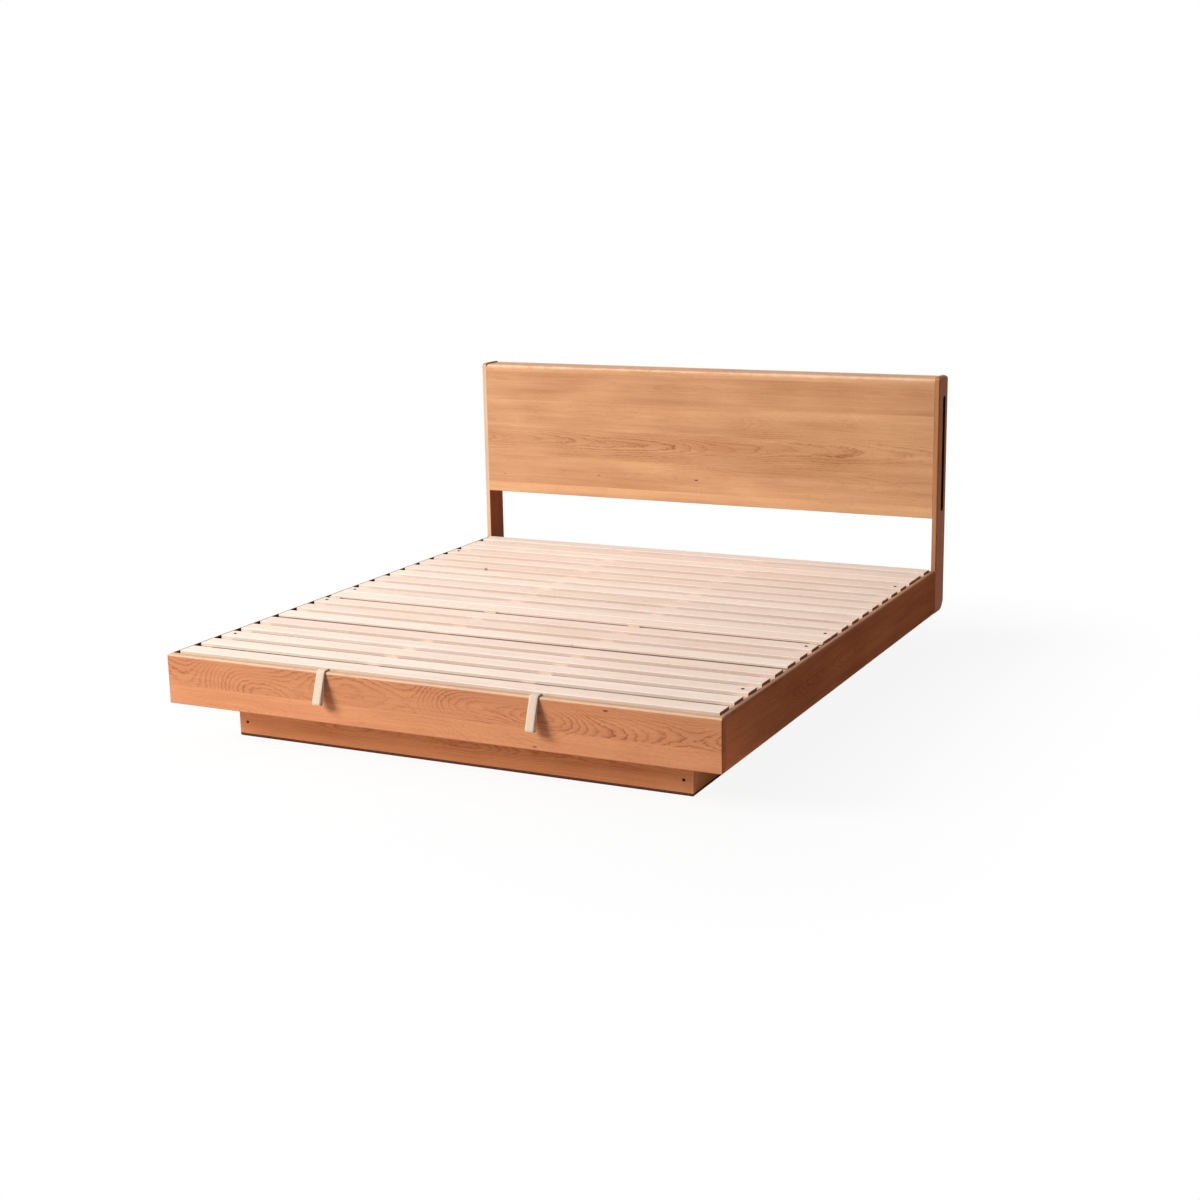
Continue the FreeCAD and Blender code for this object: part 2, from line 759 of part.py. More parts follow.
flap_holes = slat_screws(screwed_flap_slats, screw_clearance) + hinge_screws(-1, screw_clearance)
save("flap_bearers", bearers((flap_bearer_front, flap_bearer_back), flap_holes))
fixed_holes = slat_screws(screwed_fixed_slats, screw_clearance)
save("rear_bearers", bearers((beam_back, post_front), fixed_holes))
save("flap_slat_screws", slat_screws(screwed_flap_slats))
save("rear_slat_screws", slat_screws(screwed_fixed_slats))
save("cross_ledgers", cross_ledgers())
save("hinge_beam", hinge_beam())
save("rear_support_board", rear_support())
save("hinge_flap_leaves", [hinge_leaf(centre, -1, (1,)) for centre in bearer_centres])
save("hinge_beam_leaves", [hinge_leaf(centre, 1, (0, 2)) for centre in bearer_centres])
save("hinge_pins", [hinge_pin(centre) for centre in bearer_centres])
save("hinge_flap_screws", hinge_screws(-1))
save("hinge_beam_screws", hinge_screws(1))
save("strap_anchors", strap_anchors())

save("storage_floor_front", storage_floor_front())
save("storage_floor_rear", storage_floor_rear())
save("plinth_front", plinth_cross_board(plinth_front_face, 1))
save("plinth_back", plinth_cross_board(plinth_back_face, -1))
save("plinth_ribs", plinth_ribs())
save("plinth_corner_blocks", plinth_corner_blocks())
save("plinth_glides", plinth_glides())
save("plinth_bolts", plinth_bolts())
save("corner_brackets", corner_brackets())
save("bracket_screws", bracket_screws())
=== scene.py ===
"""Floating storage bed: timber, steel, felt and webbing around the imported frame, with a plain stage."""

import math

import bmesh
import bpy
from bpy.props import FloatProperty, FloatVectorProperty, PointerProperty
from mathutils import Matrix, Vector


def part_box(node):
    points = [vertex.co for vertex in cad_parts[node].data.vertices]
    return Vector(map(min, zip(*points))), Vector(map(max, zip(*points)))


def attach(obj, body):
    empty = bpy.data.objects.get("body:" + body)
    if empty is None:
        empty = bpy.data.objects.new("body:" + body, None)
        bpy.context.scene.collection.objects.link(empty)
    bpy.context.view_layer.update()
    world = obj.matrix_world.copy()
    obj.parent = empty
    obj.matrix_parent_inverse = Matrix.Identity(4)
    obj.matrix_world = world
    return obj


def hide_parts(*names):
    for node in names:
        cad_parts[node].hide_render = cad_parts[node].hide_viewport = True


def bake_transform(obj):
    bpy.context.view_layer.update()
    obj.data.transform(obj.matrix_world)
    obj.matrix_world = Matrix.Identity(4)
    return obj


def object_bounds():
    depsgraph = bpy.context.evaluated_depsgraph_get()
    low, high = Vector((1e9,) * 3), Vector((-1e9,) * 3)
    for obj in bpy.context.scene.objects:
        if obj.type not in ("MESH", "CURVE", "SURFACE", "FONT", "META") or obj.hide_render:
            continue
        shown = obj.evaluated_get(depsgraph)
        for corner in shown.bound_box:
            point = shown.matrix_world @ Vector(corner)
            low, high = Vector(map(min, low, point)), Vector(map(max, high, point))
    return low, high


bl_info = {
    "name": "Floating storage bed",
    "version": (1, 0, 0),
    "blender": (4, 5, 0),
    "location": "3D View > Sidebar > Bed",
    "description": "Dresses the bed's solids in timber, steel, felt and webbing, and sets the stage",
    "category": "Object",
}

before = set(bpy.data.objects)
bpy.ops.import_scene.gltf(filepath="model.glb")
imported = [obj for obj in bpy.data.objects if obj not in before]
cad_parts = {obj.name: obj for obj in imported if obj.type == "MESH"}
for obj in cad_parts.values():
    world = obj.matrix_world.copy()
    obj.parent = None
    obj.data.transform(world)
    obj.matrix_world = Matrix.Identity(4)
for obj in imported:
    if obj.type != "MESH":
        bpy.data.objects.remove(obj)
cad_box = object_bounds()

MM = 0.001
X, Y, Z = 0, 1, 2

FLAP = "deck_flap"
BODY = "bed_frame"
NODES = sorted(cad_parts)
SLATS = [name for name in NODES if name.startswith("slat_")]
# How high the painted shade of a deep gap reaches up the front face of the slat behind it
GAP_SHADE_HEIGHTS = {"slat_02": 1.2 * MM, "slat_06": 3.5 * MM, "slat_09": 3.5 * MM}
SIDES = (("left", -1), ("right", 1))


def linear(red, green, blue):
    """A colour written as 0 to 255 screen values, as the linear values that shaders take."""
    def channel(value):
        value /= 255.0
        return value / 12.92 if value <= 0.04045 else ((value + 0.055) / 1.055) ** 2.4
    return tuple(channel(value) for value in (red, green, blue))


def size_of(node):
    """A node's extents along X, Y and Z."""
    low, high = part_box(node)
    return Vector(high) - Vector(low)


# Settings

def tone(name, description, colour):
    """A colour property."""
    return FloatVectorProperty(name=name, description=description, subtype="COLOR", size=3,
                               min=0.0, max=4.0, soft_max=1.0, default=colour)


def length(name, description, value):
    """A length property, in metres."""
    return FloatProperty(name=name, description=description, default=value, unit="LENGTH", precision=4)


def angle(name, description, degrees):
    """An angle property, written here in degrees."""
    return FloatProperty(name=name, description=description, default=math.radians(degrees),
                         unit="ROTATION")


class TimberSettings(bpy.types.PropertyGroup):
    """Colours and grain of the bed's timbers."""
    head_light: tone("Headboard, early wood", "Pale part of the headboard", linear(221, 168, 123))
    head_dark: tone("Headboard, late wood", "Dark part of the headboard", linear(146, 82, 46))
    foot_light: tone("Footboard, early wood", "Pale part of the footboard", linear(220, 151, 107))
    foot_dark: tone("Footboard, late wood", "Dark part of the footboard", linear(128, 58, 32))
    post_light: tone("Posts, early wood", "Pale part of the posts", linear(210, 146, 102))
    post_dark: tone("Posts, late wood", "Dark part of the posts", linear(152, 86, 52))
    plinth_light: tone("Plinth, early wood", "Pale part of the plinth", linear(231, 159, 111))
    plinth_dark: tone("Plinth, late wood", "Dark part of the plinth", linear(164, 84, 48))
    slat_light: tone("Slats, early wood", "Pale part of the slats", linear(254, 234, 219))
    slat_dark: tone("Slats, late wood", "Dark part of the slats", linear(227, 193, 172))
    # Partly a sawn tone, partly painted shade on the slats' sides that face the gaps between them
    sawn_and_shaded: tone("Sawn edges", "How far the slats' sawn edges darken their colour", (0.86, 0.84, 0.82))
    slat_end: tone("Slat ends", "How far the slats' ends darken", (0.9, 0.6, 0.44))
    # Painted shade: darkens the lower front faces of a few slats, where the deep gap in front of them falls
    # into shade
    seam: tone("Seams", "How far the deep seams between some slats darken them", (0.3, 0.24, 0.2))
    # Painted shade: darkens the post slots' walls, the rails' inner faces and the left rail's top
    shade: tone("Painted shade in slots and inner faces", "How far slots and inner faces darken the timber", (0.1, 0.07, 0.06))
    # Painted sheen: pales the right rail's rounded top where it catches the light
    painted_sheen: tone("Right rail top", "How much paler the right rail's top is", (0.95, 1.12, 1.45))
    # Painted shade: the redder tone of the right rail's and right post's outer faces, which face away from
    # the window light
    shaded_side_tint: tone("Right flank", "How far the right rail's and post's outer faces redden", (1.25, 0.95, 0.82))
    # Painted shade on the left post's inner face, below the headboard
    inner_face_shade: tone("Left post inside", "How far the left post's inner face darkens", (0.78, 0.5, 0.42))
    # Painted shade on the right post's front face
    front: tone("Right post front", "How far the right post's front face darkens", (0.9, 0.94, 0.98))
    # Painted highlight: the left post's front face, lit by the window light, paler than its timber
    highlighted: tone("Left post front", "How far the left post's front face is bleached", (1.32, 2.05, 2.9))
    end_grain: tone("End grain", "How far the footboard's ends darken", (0.78, 0.42, 0.22))
    # Painted light: the footboard's top face is paler where the light from above falls on it
    painted_top_light: tone("Footboard top", "How much paler the footboard's lit top is", (1.18, 1.7, 2.1))
    # Painted shade: a dark band along the plinth's foot, for the contact shadow at the floor
    contact_shade: tone("Plinth foot", "How far the plinth's lowest edge darkens", (0.25, 0.18, 0.16))
    inner_light: tone("Inner timber, early wood", "Pale part of the bearers", linear(206, 180, 160))
    inner_dark: tone("Inner timber, late wood", "Dark part of the bearers", linear(176, 148, 126))
    # The ledgers' dark colours are painted shade, so that they read dark through the gaps between the slats
    ledger_light: tone("Ledgers, early wood", "Pale part of the stained ledgers", linear(92, 64, 48))
    ledger_dark: tone("Ledgers, late wood", "Dark part of the stained ledgers", linear(62, 40, 28))
    board_light: tone("Plywood, pale veneer", "Pale part of the storage floor", linear(228, 198, 158))
    board_dark: tone("Plywood, dark veneer", "Dark part of the storage floor", linear(198, 160, 118))
    ring_width: length("Ring width", "Width of one growth ring", 2.2 * MM)
    bold_rings: length("Bold ring width", "Ring width of the footboard and headboard", 4.6 * MM)
    wear_width: length("Edge wear and highlight width", "How far wear reaches in from an edge", 3.5 * MM)
    slot_width: length("Slot width", "Width of the slot in a post", 31 * MM)
    slot_margin: length("Slot margin", "From the slot to the post's back", 27 * MM)


class MetalSettings(bpy.types.PropertyGroup):
    """Colours and sizes of the bed's fasteners."""
    zinc: tone("Zinc plate", "Hinges and brackets", linear(196, 172, 152))
    black_oxide: tone("Black oxide", "Screws and bolts", linear(24, 20, 18))
    socket_share: FloatProperty(name="Socket", description="Socket radius as a share of the head's radius",
                                default=0.56, min=0.2, max=0.8, subtype="FACTOR")
    socket_depth: length("Socket depth", "Depth of a screw's socket", 2.0 * MM)
    chamfer: length("Chamfer", "Chamfer of a screw's head", 0.4 * MM)
    proud: length("Slat screw height", "How far a slat screw's head stands above the slat", 1.6 * MM)


class StrapSettings(bpy.types.PropertyGroup):
    """Sizes and colours of the pull straps."""
    colour: tone("Webbing", "Colour of the straps", linear(247, 226, 208))
    shade: tone("Webbing, between threads", "Colour between the threads", linear(218, 190, 164))
    layer: length("Layer", "Thickness of one webbing layer", 2.0 * MM)
    thickness: length("Doubled", "Thickness of the two layers together", 4.5 * MM)
    clearance: length("Clearance", "Gap between strap and footboard", 0.5 * MM)
    front_tilt: angle("Front tilt", "Lean of the loop's front layer", 20.0)
    back_tilt: angle("Back tilt", "Lean of the loop's back layer", 10.5)
    fall: length("Fall", "From the footboard's rounding to the loop's fold", 95.5 * MM)
    fold: length("Fold radius", "Outer radius of the loop's fold", 8.5 * MM)
    edge_radius: length("Footboard rounding", "Radius of the footboard's top front edge", 8.0 * MM)
    back_radius: length("Footboard back rounding", "Radius of the footboard's top back edge", 2.0 * MM)
    thread: length("Thread", "Width of one thread of the weave", 1.1 * MM)


class StageSettings(bpy.types.PropertyGroup):
    """Camera, lights and floor."""
    azimuth: angle("Azimuth", "Turn of the view from straight along the bed", 26.07)
    elevation: angle("Elevation", "How far the view looks down", 12.87)
    roll: angle("Roll", "Turn of the picture about its middle", -1.03)
    side: length("Camera side", "Camera's place to the right of the bed's middle", 2.786)
    ahead: length("Camera ahead", "Camera's distance in front of the footboard", 4.528)
    height: length("Camera height", "Camera's height above the floor", 1.736)
    lens: FloatProperty(name="Lens", description="Focal length for a 36 mm frame, in millimetres",
                        default=56.82, unit="CAMERA")
    floor_colour: tone("Floor", "Colour of the floor", linear(244, 243, 241))
    key_power: FloatProperty(name="Window light", description="Power of the light from the left",
                             default=1195.0, unit="POWER")
    top_power: FloatProperty(name="Top light", description="Power of the light from above",
                             default=48.0, unit="POWER")
    floor_clear: FloatProperty(name="Floor thinning",
                               description="How far the floor lets the white behind it through",
                               default=0.9, min=0.0, max=1.0, subtype="FACTOR")
    sky: FloatProperty(name="Sky", description="Strength of the even light from all sides", default=0.15)


# Node helpers

class Nodes:
    """Short calls that add nodes to one tree and link them."""

    def __init__(self, tree):
        self.tree = tree

    def add(self, kind, **settings):
        """A new node with its settings."""
        node = self.tree.nodes.new(kind)
        for key, value in settings.items():
            setattr(node, key, value)
        return node

    def put(self, source, target):
        """Link a socket, or set a plain value."""
        if isinstance(source, bpy.types.NodeSocket):
            self.tree.links.new(source, target)
        else:
            target.default_value = source

    def math(self, operation, first, second=0.0, clamp=False):
        """A sum, product or other operation on numbers."""
        node = self.add("ShaderNodeMath", operation=operation, use_clamp=clamp)
        self.put(first, node.inputs[0])
        self.put(second, node.inputs[1])
        return node.outputs[0]

    def weighted(self, value, weight, start=0.0):
        """value times weight plus start."""
        node = self.add("ShaderNodeMath", operation="MULTIPLY_ADD")
        self.put(value, node.inputs[0])
        self.put(weight, node.inputs[1])
        self.put(start, node.inputs[2])
        return node.outputs[0]

    def vector(self, x, y, z):
        """A vector from three numbers."""
        node = self.add("ShaderNodeCombineXYZ")
        for part, socket in zip((x, y, z), node.inputs):
            self.put(part, socket)
        return node.outputs[0]

    def parts(self, vector):
        """The three numbers of a vector."""
        node = self.add("ShaderNodeSeparateXYZ")
        self.put(vector, node.inputs[0])
        return tuple(node.outputs)

    def noise(self, vector, seed=0.0, scale=1.0, detail=2.0, roughness=0.5, colour=False):
        """A noise texture's value, or its colour."""
        node = self.add("ShaderNodeTexNoise", noise_dimensions="4D")
        self.put(vector, node.inputs["Vector"])
        self.put(seed, node.inputs["W"])
        node.inputs["Scale"].default_value = scale
        node.inputs["Detail"].default_value = detail
        node.inputs["Roughness"].default_value = roughness
        return node.outputs[1 if colour else 0]

    def chance(self, value):
        """A random value and a random colour for each number."""
        node = self.add("ShaderNodeTexWhiteNoise", noise_dimensions="1D")
        self.put(value, node.inputs["W"])
        return node.outputs[0], node.outputs[1]

    def ramp(self, value, stops):
        """A value reshaped by (place, height) stops."""
        node = self.add("ShaderNodeValToRGB")
        elements = node.color_ramp.elements
        while len(elements) < len(stops):
            elements.new(0.5)
        for element, (place, height) in zip(elements, stops):
            element.position = place
            element.color = (height, height, height, 1.0)
        self.put(value, node.inputs[0])
        return node.outputs[0]

    def fade(self, value, start, end):
        """0 below start, 1 above end, and smooth between them."""
        node = self.add("ShaderNodeMapRange", interpolation_type="SMOOTHSTEP")
        self.put(value, node.inputs["Value"])
        self.put(start, node.inputs["From Min"])
        self.put(end, node.inputs["From Max"])
        return node.outputs[0]

    def blend(self, share, first, second, kind="MIX"):
        """Two colours mixed."""
        node = self.add("ShaderNodeMix", data_type="RGBA", blend_type=kind)
        self.put(share, node.inputs[0])
        self.put(colour4(first), node.inputs[6])
        self.put(colour4(second), node.inputs[7])
        return node.outputs[2]


def colour4(value):
    """A plain colour with its alpha, or a socket as it is."""
    if isinstance(value, bpy.types.NodeSocket):
        return value
    return (*value[:3], 1.0)


# Shader node groups

FLOAT = "NodeSocketFloat"
COLOUR = "NodeSocketColor"
VECTOR = "NodeSocketVector"
GROWTH = ("Ring", "Fibre", "Pore", "Tone", "Knot")


def shader_group(name, inputs, outputs):
    """An empty shader node group with its sockets, and its ends."""
    group = bpy.data.node_groups.new(name, "ShaderNodeTree")
    for label, kind in inputs:
        group.interface.new_socket(name=label, in_out="INPUT", socket_type=kind)
    for label, kind in outputs:
        group.interface.new_socket(name=label, in_out="OUTPUT", socket_type=kind)
    nodes = Nodes(group)
    return group, nodes, nodes.add("NodeGroupInput").outputs, nodes.add("NodeGroupOutput").inputs


def growth_group():
    """Growth rings, fibres, pores and pin knots of a board that is glued up from planks."""
    group, n, given, out = shader_group(
        "Timber growth",
        [("Along", FLOAT), ("Across", FLOAT), ("Depth", FLOAT), ("Plank", FLOAT), ("Seed", FLOAT),
         ("Ring Width", FLOAT), ("Heart Depth", FLOAT), ("Heart Spread", FLOAT), ("Figure", FLOAT)],
        [(label, FLOAT) for label in GROWTH])
    seed_step = 7.31
    least_heart = 15 * MM
    lean_range = 0.08
    side_sway = 30 * MM
    along = given["Along"]
    depth = given["Depth"]
    place = n.math("DIVIDE", given["Across"], given["Plank"])
    plank = n.math("FLOOR", place)
    centred = n.math("SUBTRACT", n.math("FRACT", place), 0.5)
    local = n.math("MULTIPLY", centred, given["Plank"])
    seed = n.weighted(plank, seed_step, given["Seed"])
    plank_value, plank_colour = n.chance(seed)
    first, second, third = n.parts(plank_colour)

    def scaled(along_scale, across_scale, depth_scale):
        """The place in the plank, scaled for a texture that is drawn out along the grain."""
        return n.vector(n.math("MULTIPLY", along, along_scale), n.math("MULTIPLY", local, across_scale),
                        n.math("MULTIPLY", depth, depth_scale))

    # The heart of the log wanders behind the face, so that its rings come out as arches
    sway = n.noise(scaled(1.7, 3.0, 3.0), seed, detail=1.5, colour=True)
    sway_depth, sway_side = n.parts(sway)[:2]
    lean = n.weighted(n.math("SUBTRACT", third, 0.5), lean_range)
    heart = n.weighted(given["Heart Depth"], n.weighted(second, 0.9, 0.55))
    heart = n.math("ADD", heart, n.math("MULTIPLY", along, lean))
    heart = n.math("ADD", heart, n.math("MULTIPLY", n.math("SUBTRACT", sway_depth, 0.33), given["Figure"]))
    heart = n.math("SQRT", n.weighted(heart, heart, least_heart ** 2))
    shift = n.math("MULTIPLY", n.math("SUBTRACT", first, 0.5), given["Heart Spread"])
    side = n.math("ADD", n.math("SUBTRACT", local, shift), n.weighted(sway_side, side_sway, -side_sway / 2))
    behind = n.math("ADD", depth, heart)
    squares = n.math("ADD", n.math("MULTIPLY", side, side), n.math("MULTIPLY", behind, behind))
    radius = n.math("SQRT", squares)

    # Rings with toothed edges, each year and each patch of its own strength
    tooth = n.noise(scaled(45.0, 170.0, 60.0), seed, detail=2.0)
    count = n.math("DIVIDE", radius, given["Ring Width"])
    count = n.math("ADD", count, n.weighted(tooth, 1.1, -0.55))
    year = n.math("FLOOR", count)
    year_value = n.chance(n.math("ADD", year, seed))[0]
    stops = ((0.0, 0.06), (0.5, 0.09), (0.74, 0.5), (0.9, 1.0), (1.0, 0.06))
    season = n.ramp(n.math("FRACT", count), stops)
    patch = n.noise(scaled(3.2, 9.0, 9.0), n.math("ADD", seed, 11.0), detail=1.0)
    year_strength = n.weighted(year_value, 0.6, 0.4)
    patch_strength = n.weighted(n.fade(patch, 0.36, 0.62), 0.75, 0.25)
    strength = n.math("MULTIPLY", year_strength, patch_strength)
    n.put(n.math("MULTIPLY", season, strength), out["Ring"])

    # Fibres and pores are drawn out along the grain
    fibre = n.noise(scaled(4.0, 150.0, 150.0), seed, detail=4.0, roughness=0.65)
    n.put(fibre, out["Fibre"])
    pore = n.noise(scaled(60.0, 1300.0, 1300.0), seed, detail=1.0)
    n.put(n.fade(pore, 0.62, 0.72), out["Pore"])

    # Broad streaks, and a tone of its own for each plank
    streak = n.noise(scaled(1.1, 26.0, 26.0), seed, detail=3.0, roughness=0.55)
    blotch = n.noise(scaled(4.0, 10.0, 10.0), n.math("ADD", seed, 23.0), detail=2.0)
    mottle = n.weighted(n.math("SUBTRACT", blotch, 0.5), 0.8, streak)
    n.put(n.math("ADD", mottle, n.weighted(plank_value, 0.5, -0.25)), out["Tone"])

    # A few pin knots
    knot_share = 0.28
    spots = n.add("ShaderNodeTexVoronoi", feature="F1", voronoi_dimensions="3D")
    spread = n.vector(n.math("MULTIPLY", along, 5.0), n.math("MULTIPLY", local, 14.0),
                      n.math("MULTIPLY", seed, 3.7))
    n.put(spread, spots.inputs["Vector"])
    spots.inputs["Scale"].default_value = 1.0
    chosen = n.math("GREATER_THAN", n.parts(spots.outputs["Color"])[0], 1.0 - knot_share)
    near = n.math("SUBTRACT", 1.0, n.fade(spots.outputs["Distance"], 0.015, 0.06))
    n.put(n.math("MULTIPLY", near, chosen), out["Knot"])
    return group


def finish_group():
    """Colour, roughness and relief of a timber from its growth and its wear, whose pale colour also serves
    as a painted highlight on some rounded edges.
    """
    group, n, given, out = shader_group(
        "Timber finish",
        [*((label, FLOAT) for label in GROWTH), ("Wear", FLOAT), ("Wear Amount", FLOAT), ("Light", COLOUR),
         ("Dark", COLOUR), ("Ring Amount", FLOAT), ("Fibre Amount", FLOAT), ("Tone Amount", FLOAT),
         ("Gloss", FLOAT)],
        [("Color", COLOUR), ("Roughness", FLOAT), ("Height", FLOAT)])
    dark_share = 0.22
    pore_tint = (0.6, 0.5, 0.45)
    pore_share = 0.4
    knot_tint = (0.16, 0.11, 0.09)
    knot_share = 0.85
    worn_and_highlit_colour = (1.0, 0.84, 0.7)
    worn_and_highlit_share = 0.75

    share = n.math("MULTIPLY", given["Ring"], given["Ring Amount"])
    for label in ("Fibre", "Tone"):
        swing = n.math("SUBTRACT", given[label], 0.5)
        share = n.math("ADD", share, n.math("MULTIPLY", swing, given[label + " Amount"]))
    share = n.math("ADD", share, dark_share, clamp=True)
    colour = n.blend(share, given["Light"], given["Dark"])
    pore_colour = n.blend(1.0, given["Dark"], pore_tint, "MULTIPLY")
    colour = n.blend(n.math("MULTIPLY", given["Pore"], pore_share), colour, pore_colour)
    knot_colour = n.blend(1.0, given["Dark"], knot_tint, "MULTIPLY")
    colour = n.blend(n.math("MULTIPLY", given["Knot"], knot_share), colour, knot_colour)
    pale = n.blend(worn_and_highlit_share, given["Light"], worn_and_highlit_colour)
    n.put(n.blend(n.math("MULTIPLY", given["Wear"], given["Wear Amount"]), colour, pale), out["Color"])

    rough = n.weighted(given["Fibre"], 0.16, given["Gloss"])
    rough = n.math("ADD", rough, n.math("MULTIPLY", given["Wear"], 0.08))
    n.put(n.math("SUBTRACT", rough, n.math("MULTIPLY", given["Ring"], 0.06), clamp=True), out["Roughness"])
    relief = n.math("MULTIPLY", given["Fibre"], 0.6)
    relief = n.math("ADD", relief, n.math("MULTIPLY", given["Ring"], 0.4))
    relief = n.math("SUBTRACT", relief, n.math("MULTIPLY", given["Pore"], 0.7))
    n.put(n.math("SUBTRACT", relief, given["Knot"]), out["Height"])
    return group


def wear_and_highlight_group():
    """Where a box-shaped board is near one of its edges, broken up as hands and cloths wear it; on the
    headboard and footboard it also places a painted highlight along the rounded top edge.
    """
    group, n, given, out = shader_group(
        "Edge wear and highlight",
        [("Place", VECTOR), ("Low", VECTOR), ("High", VECTOR), ("Width", FLOAT)],
        [("Wear", FLOAT)])
    places = n.parts(given["Place"])
    lows = n.parts(given["Low"])
    highs = n.parts(given["High"])
    gaps = []
    for place, low, high in zip(places, lows, highs):
        gaps.append(n.math("MINIMUM", n.math("SUBTRACT", place, low), n.math("SUBTRACT", high, place)))
    nearer = n.math("MINIMUM", gaps[0], gaps[1])
    further = n.math("MAXIMUM", gaps[0], gaps[1])
    second = n.math("MAXIMUM", nearer, n.math("MINIMUM", further, gaps[2]))
    rub = n.noise(given["Place"], scale=22.0, detail=3.0)
    reach = n.math("MULTIPLY", given["Width"], n.weighted(rub, 1.8, 0.1))
    n.put(n.math("SUBTRACT", 1.0, n.fade(second, 0.0, reach)), out["Wear"])
    return group


def recess_group():
    """Where a point lies inside a box, such as a slot's walls or a face that is turned inwards."""
    group, n, given, out = shader_group(
        "Recess", [("Place", VECTOR), ("Low", VECTOR), ("High", VECTOR)], [("Inside", FLOAT)])
    inside = 1.0
    for place, low, high in zip(n.parts(given["Place"]), n.parts(given["Low"]), n.parts(given["High"])):
        between = n.math("MULTIPLY", n.math("GREATER_THAN", place, low), n.math("LESS_THAN", place, high))
        inside = n.math("MULTIPLY", between, inside)
    n.put(inside, out["Inside"])
    return group


def scratch_group():
    """Fine scratches and smudges on metal."""
    group, n, given, out = shader_group(
        "Metal scratches", [("Place", VECTOR), ("Stretch", VECTOR)], [("Scratch", FLOAT), ("Smudge", FLOAT)])
    drawn = n.add("ShaderNodeVectorMath", operation="MULTIPLY")
    n.put(given["Place"], drawn.inputs[0])
    n.put(given["Stretch"], drawn.inputs[1])
    scratch = n.noise(drawn.outputs[0], detail=4.0, roughness=0.65)
    smudge = n.noise(given["Place"], seed=4.2, scale=60.0, detail=3.0)
    n.put(scratch, out["Scratch"])
    n.put(smudge, out["Smudge"])
    return group


def weave_group():
    """A plain weave over a flat map in metres: over and under threads, with slubs."""
    group, n, given, out = shader_group(
        "Plain weave", [("Map", VECTOR), ("Thread", FLOAT)], [("Thread Height", FLOAT), ("Slub", FLOAT)])
    u, v = n.parts(given["Map"])[:2]
    wander = n.noise(given["Map"], scale=90.0, detail=1.0)
    loose = n.weighted(wander, 0.9, -0.45)
    across = n.math("ADD", n.math("DIVIDE", u, given["Thread"]), loose)
    along = n.math("ADD", n.math("DIVIDE", v, given["Thread"]), loose)
    over_u = n.math("ABSOLUTE", n.math("SINE", n.math("MULTIPLY", across, math.pi)))
    over_v = n.math("ABSOLUTE", n.math("SINE", n.math("MULTIPLY", along, math.pi)))
    turn = n.math("ADD", n.math("FLOOR", across), n.math("FLOOR", along))
    which = n.math("PINGPONG", turn, 1.0)
    upper = n.math("MULTIPLY", over_u, which)
    lower = n.math("MULTIPLY", over_v, n.math("SUBTRACT", 1.0, which))
    n.put(n.math("ADD", upper, lower), out["Thread Height"])
    slub_map = n.add("ShaderNodeVectorMath", operation="MULTIPLY")
    n.put(given["Map"], slub_map.inputs[0])
    slub_map.inputs[1].default_value = (500.0, 60.0, 1.0)
    slub = n.noise(slub_map.outputs[0], detail=2.0)
    n.put(slub, out["Slub"])
    return group


GROUPS = {}
GROUP_MAKERS = {"growth": growth_group, "finish": finish_group, "wear": wear_and_highlight_group,
                "recess": recess_group, "scratch": scratch_group, "weave": weave_group}


def place_group(n, key, **values):
    """A shared node group in a material, with its values set or linked."""
    if key not in GROUPS:
        GROUPS[key] = GROUP_MAKERS[key]()
    node = n.add("ShaderNodeGroup", node_tree=GROUPS[key])
    for label, value in values.items():
        n.put(value, node.inputs[label.replace("_", " ")])
    return node


def new_material(name, **plain):
    """An empty material with a Principled shader whose plain sockets are set."""
    material = bpy.data.materials.new(name)
    material.use_nodes = True
    material.node_tree.nodes.clear()
    n = Nodes(material.node_tree)
    shader = n.add("ShaderNodeBsdfPrincipled")
    for label, value in plain.items():
        shader.inputs[label.replace("_", " ")].default_value = value
    output = n.add("ShaderNodeOutputMaterial")
    n.put(shader.outputs[0], output.inputs["Surface"])
    return material, n, shader


def add_relief(n, shader, height, depth):
    """Bump on a shader, from a height and its depth in metres."""
    bump = n.add("ShaderNodeBump")
    bump.inputs["Strength"].default_value = 1.0
    bump.inputs["Distance"].default_value = depth
    n.put(height, bump.inputs["Height"])
    n.put(bump.outputs[0], shader.inputs["Normal"])


def dress(node, material):
    """Give a solid of the frame its material."""
    mesh_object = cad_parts[node]
    if not mesh_object.material_slots:
        mesh_object.data.materials.append(material)
    for place in mesh_object.material_slots:
        place.material = material


# Timber

LONE_PLANK = 1.0
GRAIN_RELIEF = 0.12 * MM
FACE_SKIN = 0.5 * MM


def grain_axes(node):
    """The grain's way, the width and the thickness of a board, from its extents."""
    extents = size_of(node)
    return sorted((X, Y, Z), key=lambda axis: -extents[axis])


